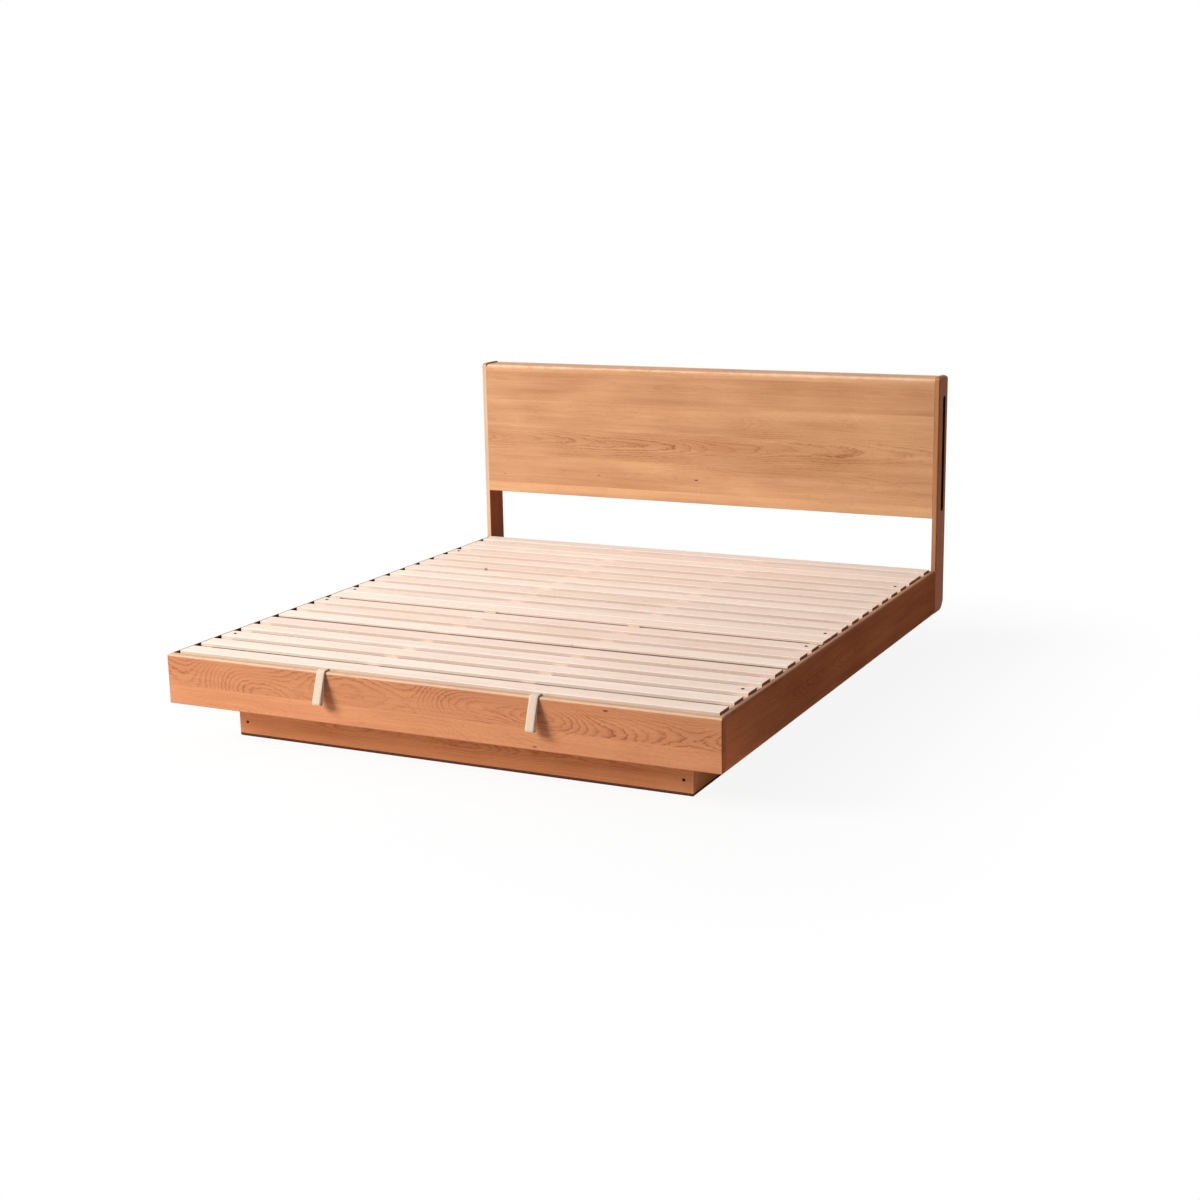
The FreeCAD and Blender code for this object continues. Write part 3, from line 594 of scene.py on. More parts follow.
def timber(node, light, dark, axes=None, plank=None, plank_shift=0.0, heart=0.05, spread=0.05, figure=0.06,
           rings=0.55, band=None, calm=0.2, fibres=0.5, tones=0.6, gloss=0.42, wear_amount=0.3,
           wear_width=None, worn_box=None, ring_width=None, sheen=0.18, shades=(), seed=None):
    """A board's own timber: its grain follows its length, and its planks and seed are its own.

    band gives the start, end and softness, up from the board's lower edge, of the part with strong rings.
    worn_box gives the corners of the box whose edges are worn, where that isn't the board's own.
    shades gives boxes, as pairs of corners, with the tone that the board's colour takes inside each.
    """
    settings = bpy.context.scene.bed_timber
    low, high = (Vector(corner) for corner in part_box(node))
    along, across, thick = axes or grain_axes(node)
    if plank is None:
        plank = LONE_PLANK
        plank_shift = (LONE_PLANK - (high[across] - low[across])) / 2
    if seed is None:
        seed = 3.17 * NODES.index(node)
    material, n, shader = new_material("timber_" + node, Specular_IOR_Level=sheen)
    place = n.add("ShaderNodeTexCoord").outputs["Object"]
    parts = n.parts(place)
    growth = place_group(n, "growth", Along=parts[along],
                         Across=n.math("ADD", parts[across], plank_shift - low[across]),
                         Depth=n.math("SUBTRACT", parts[thick], low[thick]), Plank=plank, Seed=seed,
                         Ring_Width=ring_width or settings.ring_width, Heart_Depth=heart,
                         Heart_Spread=spread, Figure=figure)
    wear = 0.0
    if wear_amount:
        worn_low, worn_high = worn_box or (low, high)
        wear = place_group(n, "wear", Place=place, Low=worn_low, High=worn_high,
                           Width=wear_width or settings.wear_width).outputs["Wear"]
    if band:
        start, end, softness = band
        up = n.math("SUBTRACT", parts[across], low[across])
        above = n.fade(up, start - softness, start + softness)
        beyond = n.fade(up, end - softness, end + softness)
        inside = n.math("MULTIPLY", above, n.math("SUBTRACT", 1.0, beyond))
        rings = n.weighted(inside, rings - calm, calm)
    finish = place_group(n, "finish", Wear=wear, Wear_Amount=wear_amount, Light=colour4(light),
                         Dark=colour4(dark), Ring_Amount=rings, Fibre_Amount=fibres, Tone_Amount=tones,
                         Gloss=gloss, **{label: growth.outputs[label] for label in GROWTH})
    colour = finish.outputs["Color"]
    for (box_low, box_high), shade in shades:
        inside = place_group(n, "recess", Place=place, Low=box_low, High=box_high).outputs["Inside"]
        colour = n.blend(inside, colour, n.blend(1.0, colour, tuple(shade), "MULTIPLY"))
    n.put(colour, shader.inputs["Base Color"])
    n.put(finish.outputs["Roughness"], shader.inputs["Roughness"])
    add_relief(n, shader, finish.outputs["Height"], GRAIN_RELIEF)
    return material


def edges_between(node, *sides):
    """A node's box with all but the named (sign, axis) sides far off, so that only their edges count."""
    low, high = (Vector(corner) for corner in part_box(node))
    far = Vector((10.0, 10.0, 10.0))
    corners = (low - far, high + far)
    for sign, axis in sides:
        corners[sign > 0][axis] = (high if sign > 0 else low)[axis]
    return corners


def skin(node, sign, axis, depth):
    """A box about the outermost layer of a node, on the side that a sign and an axis name."""
    low, high = edges_between(node, (sign, axis))
    if sign > 0:
        low[axis] = high[axis] - depth
        high[axis] += depth
    else:
        high[axis] = low[axis] + depth
        low[axis] -= depth
    return low, high


def slot_box(node, sign):
    """A box about the walls of the slot in a post, short of the post's outer face and top."""
    settings = bpy.context.scene.bed_timber
    low, high = (Vector(corner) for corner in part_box(node))
    panel_low, panel_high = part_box("headboard_front_panel")
    play = 0.3 * MM
    rim = 1.0 * MM
    under_top = 30 * MM
    low.x -= sign * rim
    high.x -= sign * rim
    high.y = high.y - settings.slot_margin + play
    low.y = high.y - settings.slot_width - 2 * play
    low.z = panel_low[Z]
    high.z = panel_high[Z] - under_top
    return low, high


def dress_footboard(s):
    """Two planks glued at a seam, the upper one with bold arches, under a top paled by painted light and
    between dark ends.
    """
    seam = 63 * MM
    plank = 95 * MM
    # Painted light on the top face
    shades = [(skin("footboard", 1, Z, 5 * MM), s.painted_top_light)]
    for sign in (-1, 1):
        shades.append((skin("footboard", sign, X, 1.5 * MM), s.end_grain))
    # This edge wear doubles as a painted highlight on the rounded top front edge
    dress("footboard", timber("footboard", tuple(s.foot_light), tuple(s.foot_dark), plank=plank,
                              plank_shift=plank - seam, heart=0.03, spread=0.03, figure=0.3, sheen=0.04,
                              tones=0.3, rings=0.6, band=(seam, 1.0, 1.0 * MM), calm=0.2,
                              ring_width=s.bold_rings, wear_amount=0.15, wear_width=9 * MM, seed=28.6,
                              worn_box=edges_between("footboard", (-1, Y), (1, Z)), shades=shades))


def dress_headboard(s):
    """Two glued-up panels with a band of arches, and plain boards above and below."""
    colours = (tuple(s.head_light), tuple(s.head_dark))
    band = (150 * MM, 265 * MM, 40 * MM)
    for panel, front, seed in (("headboard_front_panel", -1, 8.8), ("headboard_back_panel", 1, 16.4)):
        # The broad wear along the panels' top edges doubles as a painted highlight on their rounding
        dress(panel, timber(panel, *colours, plank=110 * MM, plank_shift=70 * MM, heart=0.03, spread=0.05,
                            figure=0.1, rings=0.6, band=band, calm=0.15, fibres=0.4, sheen=0.1, tones=0.65,
                            ring_width=s.bold_rings, wear_amount=0.7, wear_width=12 * MM,
                            worn_box=edges_between(panel, (front, Y), (1, Z)), seed=seed))
    for board in ("headboard_top_board", "headboard_bottom_board"):
        dress(board, timber(board, *colours))


def dress_rail(s, side, sign):
    """A side rail with painted shade on its inner face: the left one's top has painted shade too, the right
    one's top a painted sheen and its outside a redder painted shade.
    """
    board = "side_rail_" + side
    top_layer = 4 * MM
    pale_rim = 4 * MM
    top = skin(board, 1, Z, top_layer)
    if sign < 0:
        top[0].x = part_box(board)[0][X] + pale_rim
    # Painted shade on the left rail's top and on both inner faces; painted sheen on the right rail's top
    shades = [(top, s.shade if sign < 0 else s.painted_sheen), (skin(board, -sign, X, 0.4 * MM), s.shade)]
    # Painted shade: the right rail's outer face takes the redder tone of a side turned from the light
    if sign > 0:
        outer = skin(board, sign, X, FACE_SKIN)
        outer[1].z = top[0].z
        shades.append((outer, s.shaded_side_tint))
    dress(board, timber(board, tuple(s.foot_light), tuple(s.foot_dark), rings=0.35, wear_amount=0.0,
                        sheen=0.0, shades=shades))


def dress_post(s, side, sign):
    """A post with painted shade in its slot and on the face to the right, and painted shade on the right
    post's front or a painted highlight on the left post's front.
    """
    post = "post_" + side
    face = skin(post, 1, X, FACE_SKIN)
    if sign < 0:
        face[1].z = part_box("headboard_front_panel")[0][Z]
    # Painted shade in the slot and on the face to the right; painted shade on the right post's front,
    # painted highlight on the left post's front
    shades = ((slot_box(post, sign), s.shade), (face, s.shaded_side_tint if sign > 0 else s.inner_face_shade),
              (skin(post, -1, Y, 1 * MM), s.front if sign > 0 else s.highlighted))
    dress(post, timber(post, tuple(s.post_light), tuple(s.post_dark), wear_amount=0.0, sheen=0.03,
                       shades=shades))


def dress_plinth(s):
    """Four boards, with a painted contact shadow along the floor."""
    for board in ("plinth_front", "plinth_back", "plinth_left", "plinth_right"):
        dress(board, timber(board, tuple(s.plinth_light), tuple(s.plinth_dark), sheen=0.0,
                            shades=((skin(board, -1, Z, 5 * MM), s.contact_shade),)))


class BED_OT_show_timber(bpy.types.Operator):
    """Dress the rails, footboard, headboard, posts and plinth in oiled timber"""
    bl_idname = "bed.show_timber"
    bl_label = "Show timber"

    def execute(self, context):
        settings = context.scene.bed_timber
        dress_footboard(settings)
        dress_headboard(settings)
        for side, sign in SIDES:
            dress_rail(settings, side, sign)
            dress_post(settings, side, sign)
        dress("head_rail", timber("head_rail", tuple(settings.foot_light), tuple(settings.foot_dark),
                                  rings=0.35, sheen=0.0))
        dress_plinth(settings)
        return {"FINISHED"}


class BED_OT_slats(bpy.types.Operator):
    """Dress the slats in pale sanded timber, each with its own grain"""
    bl_idname = "bed.slats"
    bl_label = "Slats"

    def execute(self, context):
        settings = context.scene.bed_timber
        rounding = 1.5 * MM
        for slat in SLATS:
            # The sides take the sawn tone, which also paints their shade; the ends take their own darker
            # tone
            edges = edges_between(slat, (1, Z))
            edges[1].z -= rounding
            shades = [(edges, settings.sawn_and_shaded)]
            for sign in (-1, 1):
                shades.append((skin(slat, sign, X, FACE_SKIN), settings.slat_end))
            # Painted shade low on the front face, for the deep gap in front of this slat
            if slat in GAP_SHADE_HEIGHTS:
                seam = skin(slat, -1, Y, FACE_SKIN)
                seam[1].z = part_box(slat)[0][Z] + GAP_SHADE_HEIGHTS[slat]
                shades.append((seam, settings.seam))
            dress(slat, timber(slat, tuple(settings.slat_light), tuple(settings.slat_dark), spread=0.12,
                               rings=0.45, fibres=0.5, tones=0.7, gloss=0.5, wear_amount=0.2, shades=shades))
        return {"FINISHED"}


class BED_OT_inner_timber(bpy.types.Operator):
    """Dress the bearers, ledgers, ribs and blocks in planed timber, and the storage floor in plywood"""
    bl_idname = "bed.inner_timber"
    bl_label = "Inner timber"

    def execute(self, context):
        settings = context.scene.bed_timber
        inner_plank = 300 * MM
        veneer_sheet = 420 * MM
        pale = (tuple(settings.inner_light), tuple(settings.inner_dark))
        # Painted shade: the ledgers take dark colours
        shaded = (tuple(settings.ledger_light), tuple(settings.ledger_dark))
        boards = (("flap_bearers", pale, (Y, X, Z)), ("rear_bearers", pale, (Y, X, Z)),
                  ("ledger_left", shaded, (Y, Z, X)), ("ledger_right", shaded, (Y, Z, X)),
                  ("cross_ledgers", shaded, (X, Y, Z)), ("hinge_beam", pale, (X, Z, Y)),
                  ("rear_support_board", pale, (X, Z, Y)), ("plinth_ribs", pale, (X, Z, Y)),
                  ("plinth_corner_blocks", pale, (Z, X, Y)), ("pocket_dividers", pale, (Z, Y, X)))
        for node, colours, axes in boards:
            dress(node, timber(node, *colours, axes=axes, wear_amount=0.0, gloss=0.55, plank=inner_plank))
        for panel in ("storage_floor_front", "storage_floor_rear"):
            dress(panel, timber(panel, tuple(settings.board_light), tuple(settings.board_dark),
                                axes=(X, Y, Z), plank=veneer_sheet, heart=0.12, figure=0.16, gloss=0.5))
        return {"FINISHED"}


# Metal and felt

def metal_material(name, colour, roughness, stretch, metallic=1.0):
    """A plated or blackened metal with drawn scratches and smudges."""
    dullness = 0.72
    material, n, shader = new_material(name, Metallic=metallic, Specular_IOR_Level=0.15)
    place = n.add("ShaderNodeTexCoord").outputs["Object"]
    marks = place_group(n, "scratch", Place=place, Stretch=stretch)
    dull = tuple(dullness * channel for channel in colour)
    n.put(n.blend(marks.outputs["Smudge"], colour, dull), shader.inputs["Base Color"])
    rough = n.weighted(marks.outputs["Scratch"], 0.3, roughness - 0.15)
    n.put(n.weighted(marks.outputs["Smudge"], 0.12, rough), shader.inputs["Roughness"])
    add_relief(n, shader, marks.outputs["Scratch"], 0.03 * MM)
    return material


def felt_material():
    """Dark pressed felt."""
    material, n, shader = new_material("felt", Specular_IOR_Level=0.2, Sheen_Weight=0.3)
    place = n.add("ShaderNodeTexCoord").outputs["Object"]
    hair = n.noise(place, scale=900.0, detail=4.0, roughness=0.7)
    n.put(n.blend(hair, linear(30, 27, 26), linear(66, 60, 56)), shader.inputs["Base Color"])
    n.put(n.weighted(hair, 0.1, 0.88), shader.inputs["Roughness"])
    add_relief(n, shader, hair, 0.4 * MM)
    return material


class BED_OT_hardware(bpy.types.Operator):
    """Dress the hinges and brackets in zinc plate, and the glides in felt"""
    bl_idname = "bed.hardware"
    bl_label = "Hardware"

    def execute(self, context):
        zinc = tuple(context.scene.bed_metal.zinc)
        plate = metal_material("zinc_plate", zinc, 0.55, (90.0, 1400.0, 1400.0))
        pins = metal_material("turned_steel", zinc, 0.5, (1800.0, 120.0, 120.0))
        for node in ("hinge_beam_leaves", "hinge_flap_leaves", "corner_brackets"):
            dress(node, plate)
        for node in ("hinge_pins", "hinge_flap_screws", "hinge_beam_screws"):
            dress(node, pins)
        dress("plinth_glides", felt_material())
        return {"FINISHED"}


# Screws, made by one Geometry Nodes tree

def screw_tree():
    """A tree that puts a socket screw on every point, turned to the point's facing."""
    round_sides = 32
    socket_sides = 6
    tree = bpy.data.node_groups.new("Socket screws", "GeometryNodeTree")
    tree.interface.new_socket(name="Geometry", in_out="INPUT", socket_type="NodeSocketGeometry")
    for label in ("Head Radius", "Head Height", "Socket Radius", "Socket Depth", "Chamfer", "Neck Radius",
                  "Shank Radius", "Length"):
        tree.interface.new_socket(name=label, in_out="INPUT", socket_type=FLOAT)
    tree.interface.new_socket(name="Material", in_out="INPUT", socket_type="NodeSocketMaterial")
    tree.interface.new_socket(name="Geometry", in_out="OUTPUT", socket_type="NodeSocketGeometry")
    n = Nodes(tree)
    given = n.add("NodeGroupInput").outputs
    out = n.add("NodeGroupOutput").inputs

    def moved(mesh, z):
        """A mesh, moved along the screw."""
        node = n.add("GeometryNodeTransform")
        n.put(mesh, node.inputs["Geometry"])
        n.put(n.vector(0.0, 0.0, z), node.inputs["Translation"])
        return node.outputs[0]

    def ring(radius, corners):
        """A flat ring with so many corners."""
        node = n.add("GeometryNodeCurvePrimitiveCircle")
        node.inputs["Resolution"].default_value = corners
        n.put(radius, node.inputs["Radius"])
        return node.outputs["Curve"]

    def cone(top, bottom, depth, fill):
        """A cone or a cylinder that stands on the floor of the screw's own space."""
        node = n.add("GeometryNodeMeshCone", fill_type=fill)
        node.inputs["Vertices"].default_value = round_sides
        n.put(top, node.inputs["Radius Top"])
        n.put(bottom, node.inputs["Radius Bottom"])
        n.put(depth, node.inputs["Depth"])
        return node.outputs["Mesh"]

    # The top face: a disc with a six-sided hole, drawn down to make the socket's walls
    rim_radius = n.math("SUBTRACT", given["Head Radius"], given["Chamfer"])
    rims = n.add("GeometryNodeJoinGeometry")
    for curve in (ring(rim_radius, round_sides), ring(given["Socket Radius"], socket_sides)):
        tree.links.new(curve, rims.inputs[0])
    face = n.add("GeometryNodeFillCurve")
    n.put(rims.outputs[0], face.inputs["Curve"])
    wall = n.add("GeometryNodeExtrudeMesh", mode="FACES")
    n.put(moved(face.outputs[0], n.math("MULTIPLY", given["Socket Depth"], -1.0)), wall.inputs["Mesh"])
    n.put(n.vector(0.0, 0.0, 1.0), wall.inputs["Offset"])
    n.put(given["Socket Depth"], wall.inputs["Offset Scale"])
    wall.inputs["Individual"].default_value = False
    floor = n.add("GeometryNodeMeshCircle", fill_type="NGON")
    floor.inputs["Vertices"].default_value = round_sides
    n.put(rim_radius, floor.inputs["Radius"])

    # The chamfer, the head's side and the shank
    minus_chamfer = n.math("MULTIPLY", given["Chamfer"], -1.0)
    chamfer = moved(cone(rim_radius, given["Head Radius"], given["Chamfer"], "NONE"), minus_chamfer)
    side_height = n.math("SUBTRACT", given["Head Height"], given["Chamfer"])
    side_low = n.math("MULTIPLY", given["Head Height"], -1.0)
    side = moved(cone(given["Head Radius"], given["Neck Radius"], side_height, "NGON"), side_low)
    shank_length = n.math("SUBTRACT", given["Length"], given["Head Height"])
    shank_low = n.math("MULTIPLY", given["Length"], -1.0)
    shank = moved(cone(given["Shank Radius"], given["Shank Radius"], shank_length, "NGON"), shank_low)
    screw = n.add("GeometryNodeJoinGeometry")
    base = moved(floor.outputs["Mesh"], n.math("MULTIPLY", given["Socket Depth"], -1.0))
    for part in (wall.outputs["Mesh"], base, chamfer, side, shank):
        tree.links.new(part, screw.inputs[0])

    facing = n.add("GeometryNodeInputNamedAttribute", data_type="FLOAT_VECTOR")
    facing.inputs["Name"].default_value = "facing"
    turn = n.add("FunctionNodeAlignRotationToVector", axis="Z")
    n.put(facing.outputs["Attribute"], turn.inputs["Vector"])
    points = n.add("GeometryNodeMeshToPoints")
    n.put(given["Geometry"], points.inputs["Mesh"])
    spread = n.add("GeometryNodeInstanceOnPoints")
    n.put(points.outputs[0], spread.inputs["Points"])
    n.put(screw.outputs[0], spread.inputs["Instance"])
    n.put(turn.outputs[0], spread.inputs["Rotation"])
    real = n.add("GeometryNodeRealizeInstances")
    n.put(spread.outputs[0], real.inputs[0])
    paint = n.add("GeometryNodeSetMaterial")
    n.put(real.outputs[0], paint.inputs["Geometry"])
    n.put(given["Material"], paint.inputs["Material"])
    n.put(paint.outputs[0], out["Geometry"])
    return tree


def new_object(name, mesh):
    """An object at the origin for a finished mesh."""
    piece = bpy.data.objects.new(name, mesh)
    bpy.context.scene.collection.objects.link(piece)
    return piece


def screws(name, tree, places, sizes, material):
    """A set of screws at (place, facing) points, as one plain mesh."""
    points = bpy.data.meshes.new(name + "_points")
    points.from_pydata([place for place, facing in places], [], [])
    attribute = points.attributes.new("facing", "FLOAT_VECTOR", "POINT")
    for item, (place, facing) in zip(attribute.data, places):
        item.vector = facing
    source = new_object(name + "_source", points)
    modifier = source.modifiers.new("Screws", "NODES")
    modifier.node_group = tree
    keys = {item.name: item.identifier for item in tree.interface.items_tree if item.in_out == "INPUT"}
    for label, value in sizes.items():
        modifier[keys[label]] = value
    modifier[keys["Material"]] = material
    depsgraph = bpy.context.evaluated_depsgraph_get()
    mesh = bpy.data.meshes.new_from_object(source.evaluated_get(depsgraph))
    source.modifiers.remove(modifier)
    bpy.data.objects.remove(source)
    return new_object(name, mesh)


def loose_parts(node):
    """The boxes of a node's separate solids, as (low, high) corners."""
    weld = 0.001 * MM
    mesh = bmesh.new()
    mesh.from_mesh(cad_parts[node].data)
    bmesh.ops.remove_doubles(mesh, verts=mesh.verts, dist=weld)
    boxes = []
    waiting = set(mesh.verts)
    while waiting:
        front = [waiting.pop()]
        found = []
        while front:
            vertex = front.pop()
            found.append(vertex.co.copy())
            for edge in vertex.link_edges:
                other = edge.other_vert(vertex)
                if other in waiting:
                    waiting.remove(other)
                    front.append(other)
        low = Vector([min(point[axis] for point in found) for axis in (X, Y, Z)])
        high = Vector([max(point[axis] for point in found) for axis in (X, Y, Z)])
        boxes.append((low, high))
    mesh.free()
    return sorted(boxes, key=lambda box: (round(box[0].x, 4), round(box[0].y, 4), round(box[0].z, 4)))


def facing_up(low, high):
    """The way a slat screw's head faces."""
    return Vector((0.0, 0.0, 1.0))


def facing_out(low, high):
    """The way a plinth bolt's head faces: to the bed's foot or to its head."""
    return Vector((0.0, 1.0 if low.y + high.y > 0 else -1.0, 0.0))


def facing_middle(low, high):
    """The way a bracket screw's head faces: along the screw, to the bed's middle."""
    extents = high - low
    axis = X if extents.x > extents.y else Y
    facing = Vector((0.0, 0.0, 0.0))
    facing[axis] = -1.0 if low[axis] + high[axis] > 0 else 1.0
    return facing


def screw_places(node, facing_of):
    """The head points and facings of a node's screws, with their head radius and their length."""
    places = []
    for low, high in loose_parts(node):
        facing = facing_of(low, high)
        axis = max((X, Y, Z), key=lambda way: abs(facing[way]))
        across = (axis + 1) % 3
        head = (low + high) / 2
        head[axis] = high[axis] if facing[axis] > 0 else low[axis]
        places.append((head, facing))
        radius = (high[across] - low[across]) / 2
        reach = high[axis] - low[axis]
    return places, radius, reach


class BED_OT_screws(bpy.types.Operator):
    """Make the slat screws, plinth bolts and bracket screws"""
    bl_idname = "bed.screws"
    bl_label = "Screws"

    def execute(self, context):
        settings = context.scene.bed_metal
        deepest_socket = 0.85
        dome_share = 0.6
        tree = screw_tree()
        black = metal_material("black_oxide", tuple(settings.black_oxide), 0.6, (500.0, 500.0, 500.0),
                               metallic=0.0)

        def make(node, body, facing, head_height, shank, proud=0.0):
            """The screws of one node, which ride a body."""
            places, radius, reach = screw_places(node, facing)
            places = [(head + way * proud, way) for head, way in places]
            sizes = {"Head Radius": radius, "Head Height": head_height + proud,
                     "Socket Radius": radius * settings.socket_share,
                     "Socket Depth": min(settings.socket_depth, deepest_socket * head_height),
                     "Chamfer": max(settings.chamfer, dome_share * proud),
                     "Neck Radius": shank if proud else radius, "Shank Radius": shank,
                     "Length": reach + proud}
            piece = screws("socket_" + node, tree, places, sizes, black)
            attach(piece, body)
            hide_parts(node)

        for node, body in (("flap_slat_screws", FLAP), ("rear_slat_screws", BODY)):
            make(node, body, facing_up, head_height=2.2 * MM, shank=2.0 * MM, proud=settings.proud)
        make("plinth_bolts", BODY, facing_out, head_height=5.0 * MM, shank=2.5 * MM)
        make("bracket_screws", BODY, facing_middle, head_height=2.5 * MM, shank=2.0 * MM)
        return {"FINISHED"}


# Straps

def webbing_material():
    """Pale cotton webbing, woven over the strap's own flat map."""
    settings = bpy.context.scene.bed_strap
    material, n, shader = new_material("webbing", Specular_IOR_Level=0.25, Sheen_Weight=0.25)
    flat_map = n.add("ShaderNodeUVMap", uv_map="flat").outputs[0]
    weave = place_group(n, "weave", Map=flat_map, Thread=settings.thread)
    colour = n.blend(n.math("SUBTRACT", 1.0, weave.outputs["Thread Height"]), tuple(settings.colour),
                     tuple(settings.shade))
    soiled = n.blend(1.0, colour, (0.9, 0.87, 0.83), "MULTIPLY")
    n.put(n.blend(weave.outputs["Slub"], colour, soiled), shader.inputs["Base Color"])
    n.put(n.weighted(weave.outputs["Slub"], 0.12, 0.78), shader.inputs["Roughness"])
    add_relief(n, shader, weave.outputs["Thread Height"], 0.25 * MM)
    return material


def direction(tilt):
    """The outward way, as (y, z), of a layer that hangs at a tilt from upright."""
    return Vector((-math.cos(tilt), math.sin(tilt)))


def crossing(normal_a, distance_a, normal_b, distance_b):
    """The point where two lines cross, each given by its normal and its distance."""
    share = normal_a.x * normal_b.y - normal_a.y * normal_b.x
    y = (distance_a * normal_b.y - distance_b * normal_a.y) / share
    z = (distance_b * normal_a.x - distance_a * normal_b.x) / share
    return Vector((y, z))


def rounded_path(corners, step):
    """Points along straight runs joined by arcs, from (point, radius) corners, about a step apart."""
    arc_step = math.radians(12)
    places = [place for place, radius in corners]
    points = [places[0]]

    def run_to(target):
        """A straight run from the last point."""
        start = points[-1]
        count = max(1, round((target - start).length / step))
        points.extend(start.lerp(target, (i + 1) / count) for i in range(count))

    for before, (corner, radius), after in zip(places, corners[1:], places[2:]):
        to_before = (before - corner).normalized()
        to_after = (after - corner).normalized()
        half = to_before.angle(to_after) / 2
        inward = (to_before + to_after).normalized()
        centre = corner + inward * (radius / math.sin(half))
        first = corner + to_before * (radius / math.tan(half))
        last = corner + to_after * (radius / math.tan(half))
        run_to(first)
        sweep = math.pi - 2 * half
        count = max(3, round(sweep / arc_step))
        arm_first = first - centre
        arm_last = last - centre
        for i in range(1, count + 1):
            t = i / count
            arm = arm_first * math.sin((1 - t) * sweep) + arm_last * math.sin(t * sweep)
            points.append(centre + arm / math.sin(sweep))
    run_to(places[-1])
    return points


def strap_path():
    """The middle line (y, z) of the webbing: from under the first slat, round the loop and back."""
    s = bpy.context.scene.bed_strap
    board_low, board_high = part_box("footboard")
    slat_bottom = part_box(SLATS[0])[0][Z]
    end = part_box("strap_anchors")[1][Y]
    bend = Vector((board_low[Y] + s.edge_radius, board_high[Z] - s.edge_radius))
    inner = s.edge_radius + s.clearance
    outer = inner + s.thickness
    half = s.layer / 2
    front = direction(s.front_tilt)
    back = direction(s.back_tilt)
    down = direction((s.front_tilt + s.back_tilt) / 2 - math.pi / 2)
    up = Vector((0.0, 1.0))
    near = board_high[Y] + s.clearance + half
    far = board_high[Y] + s.clearance + s.thickness - half
    under = slat_bottom - half
    lower = slat_bottom - s.thickness + half
    back_bend = s.back_radius + s.clearance
    turn = 1.2 * half
    return [(Vector((end, under)), 0.0),
            (Vector((far, under)), turn),
            (Vector((far, bend.y + outer - half)), back_bend + s.thickness - half),
            (bend + crossing(up, outer - half, front, outer - half), outer - half),
            (bend + crossing(front, outer - half, down, s.fall - half), s.fold - half),
            (bend + crossing(down, s.fall - half, back, inner + half), s.fold - half),
            (bend + crossing(back, inner + half, up, inner + half), inner + half),
            (Vector((near, bend.y + inner + half)), back_bend + half),
            (Vector((near, lower)), turn + s.thickness - s.layer),
            (Vector((end, lower)), 0.0)]


def webbing_section(width, thickness):
    """The webbing's cross-section as (across, through) points, with round selvedges."""
    roundness = 0.46
    flat_points = 5
    round_points = 3
    radius = roundness * thickness
    half_width = width / 2 - radius
    half_thick = thickness / 2 - radius
    section = []
    for side in (1, -1):
        for i in range(flat_points):
            share = 2 * i / (flat_points - 1) - 1
            section.append((side * half_width * share, -side * thickness / 2))
        for i in range(1, round_points + 1):
            turn = math.radians(-90 * side + 45 * i)
            across = side * half_width + radius * math.cos(turn)
            section.append((across, radius * math.sin(turn) + side * half_thick * (i - 2)))
    return section


def strap_mesh(name, centre, width):
    """One strap as a closed band swept along its path, with a flat map in metres. Gives its length too."""
    path_step = 4 * MM
    layer_gap = 0.1 * MM
    path = rounded_path(strap_path(), path_step)
    section = webbing_section(width, bpy.context.scene.bed_strap.layer - layer_gap)
    count = len(section)
    vertices = []
    travel = [0.0]
    for i, point in enumerate(path):
        ahead = path[min(i + 1, len(path) - 1)]
        behind = path[max(i - 1, 0)]
        way = (ahead - behind).normalized()
        normal = Vector((-way.y, way.x))
        if i:
            travel.append(travel[-1] + (point - behind).length)
        for across, through in section:
            spot = point + normal * through
            vertices.append((centre + across, spot.x, spot.y))
    faces = []
    for i in range(len(path) - 1):
        for j in range(count):
            k = (j + 1) % count
            faces.append((i * count + j, i * count + k, (i + 1) * count + k, (i + 1) * count + j))
    faces.append(tuple(range(count)))
    faces.append(tuple(reversed(range((len(path) - 1) * count, len(path) * count))))
    mesh = bpy.data.meshes.new(name)
    mesh.from_pydata(vertices, [], faces)
    flat_map = mesh.uv_layers.new(name="flat")
    for polygon in mesh.polygons:
        for corner, vertex in zip(polygon.loop_indices, polygon.vertices):
            flat_map.data[corner].uv = (section[vertex % count][0] + width, travel[vertex // count])
    tidy = bmesh.new()
    tidy.from_mesh(mesh)
    bmesh.ops.recalc_face_normals(tidy, faces=tidy.faces)
    tidy.to_mesh(mesh)
    tidy.free()
    for polygon in mesh.polygons:
        polygon.use_smooth = len(polygon.vertices) == 4
    return mesh, travel[-1]


class BED_OT_straps(bpy.types.Operator):
    """Make the two pull straps as bands of webbing"""
    bl_idname = "bed.straps"
    bl_label = "Pull straps"

    def execute(self, context):
        material = webbing_material()
        for side in ("left", "right"):
            node = "strap_" + side
            low, high = (Vector(corner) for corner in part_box(node))
            width = high.x - low.x
            mesh, flat_length = strap_mesh("webbing_" + side, (low.x + high.x) / 2, width)
            mesh.materials.append(material)
            piece = new_object("webbing_" + side, mesh)
            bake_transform(piece)
            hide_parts(node, "strap_anchors")
        return {"FINISHED"}


# Stage

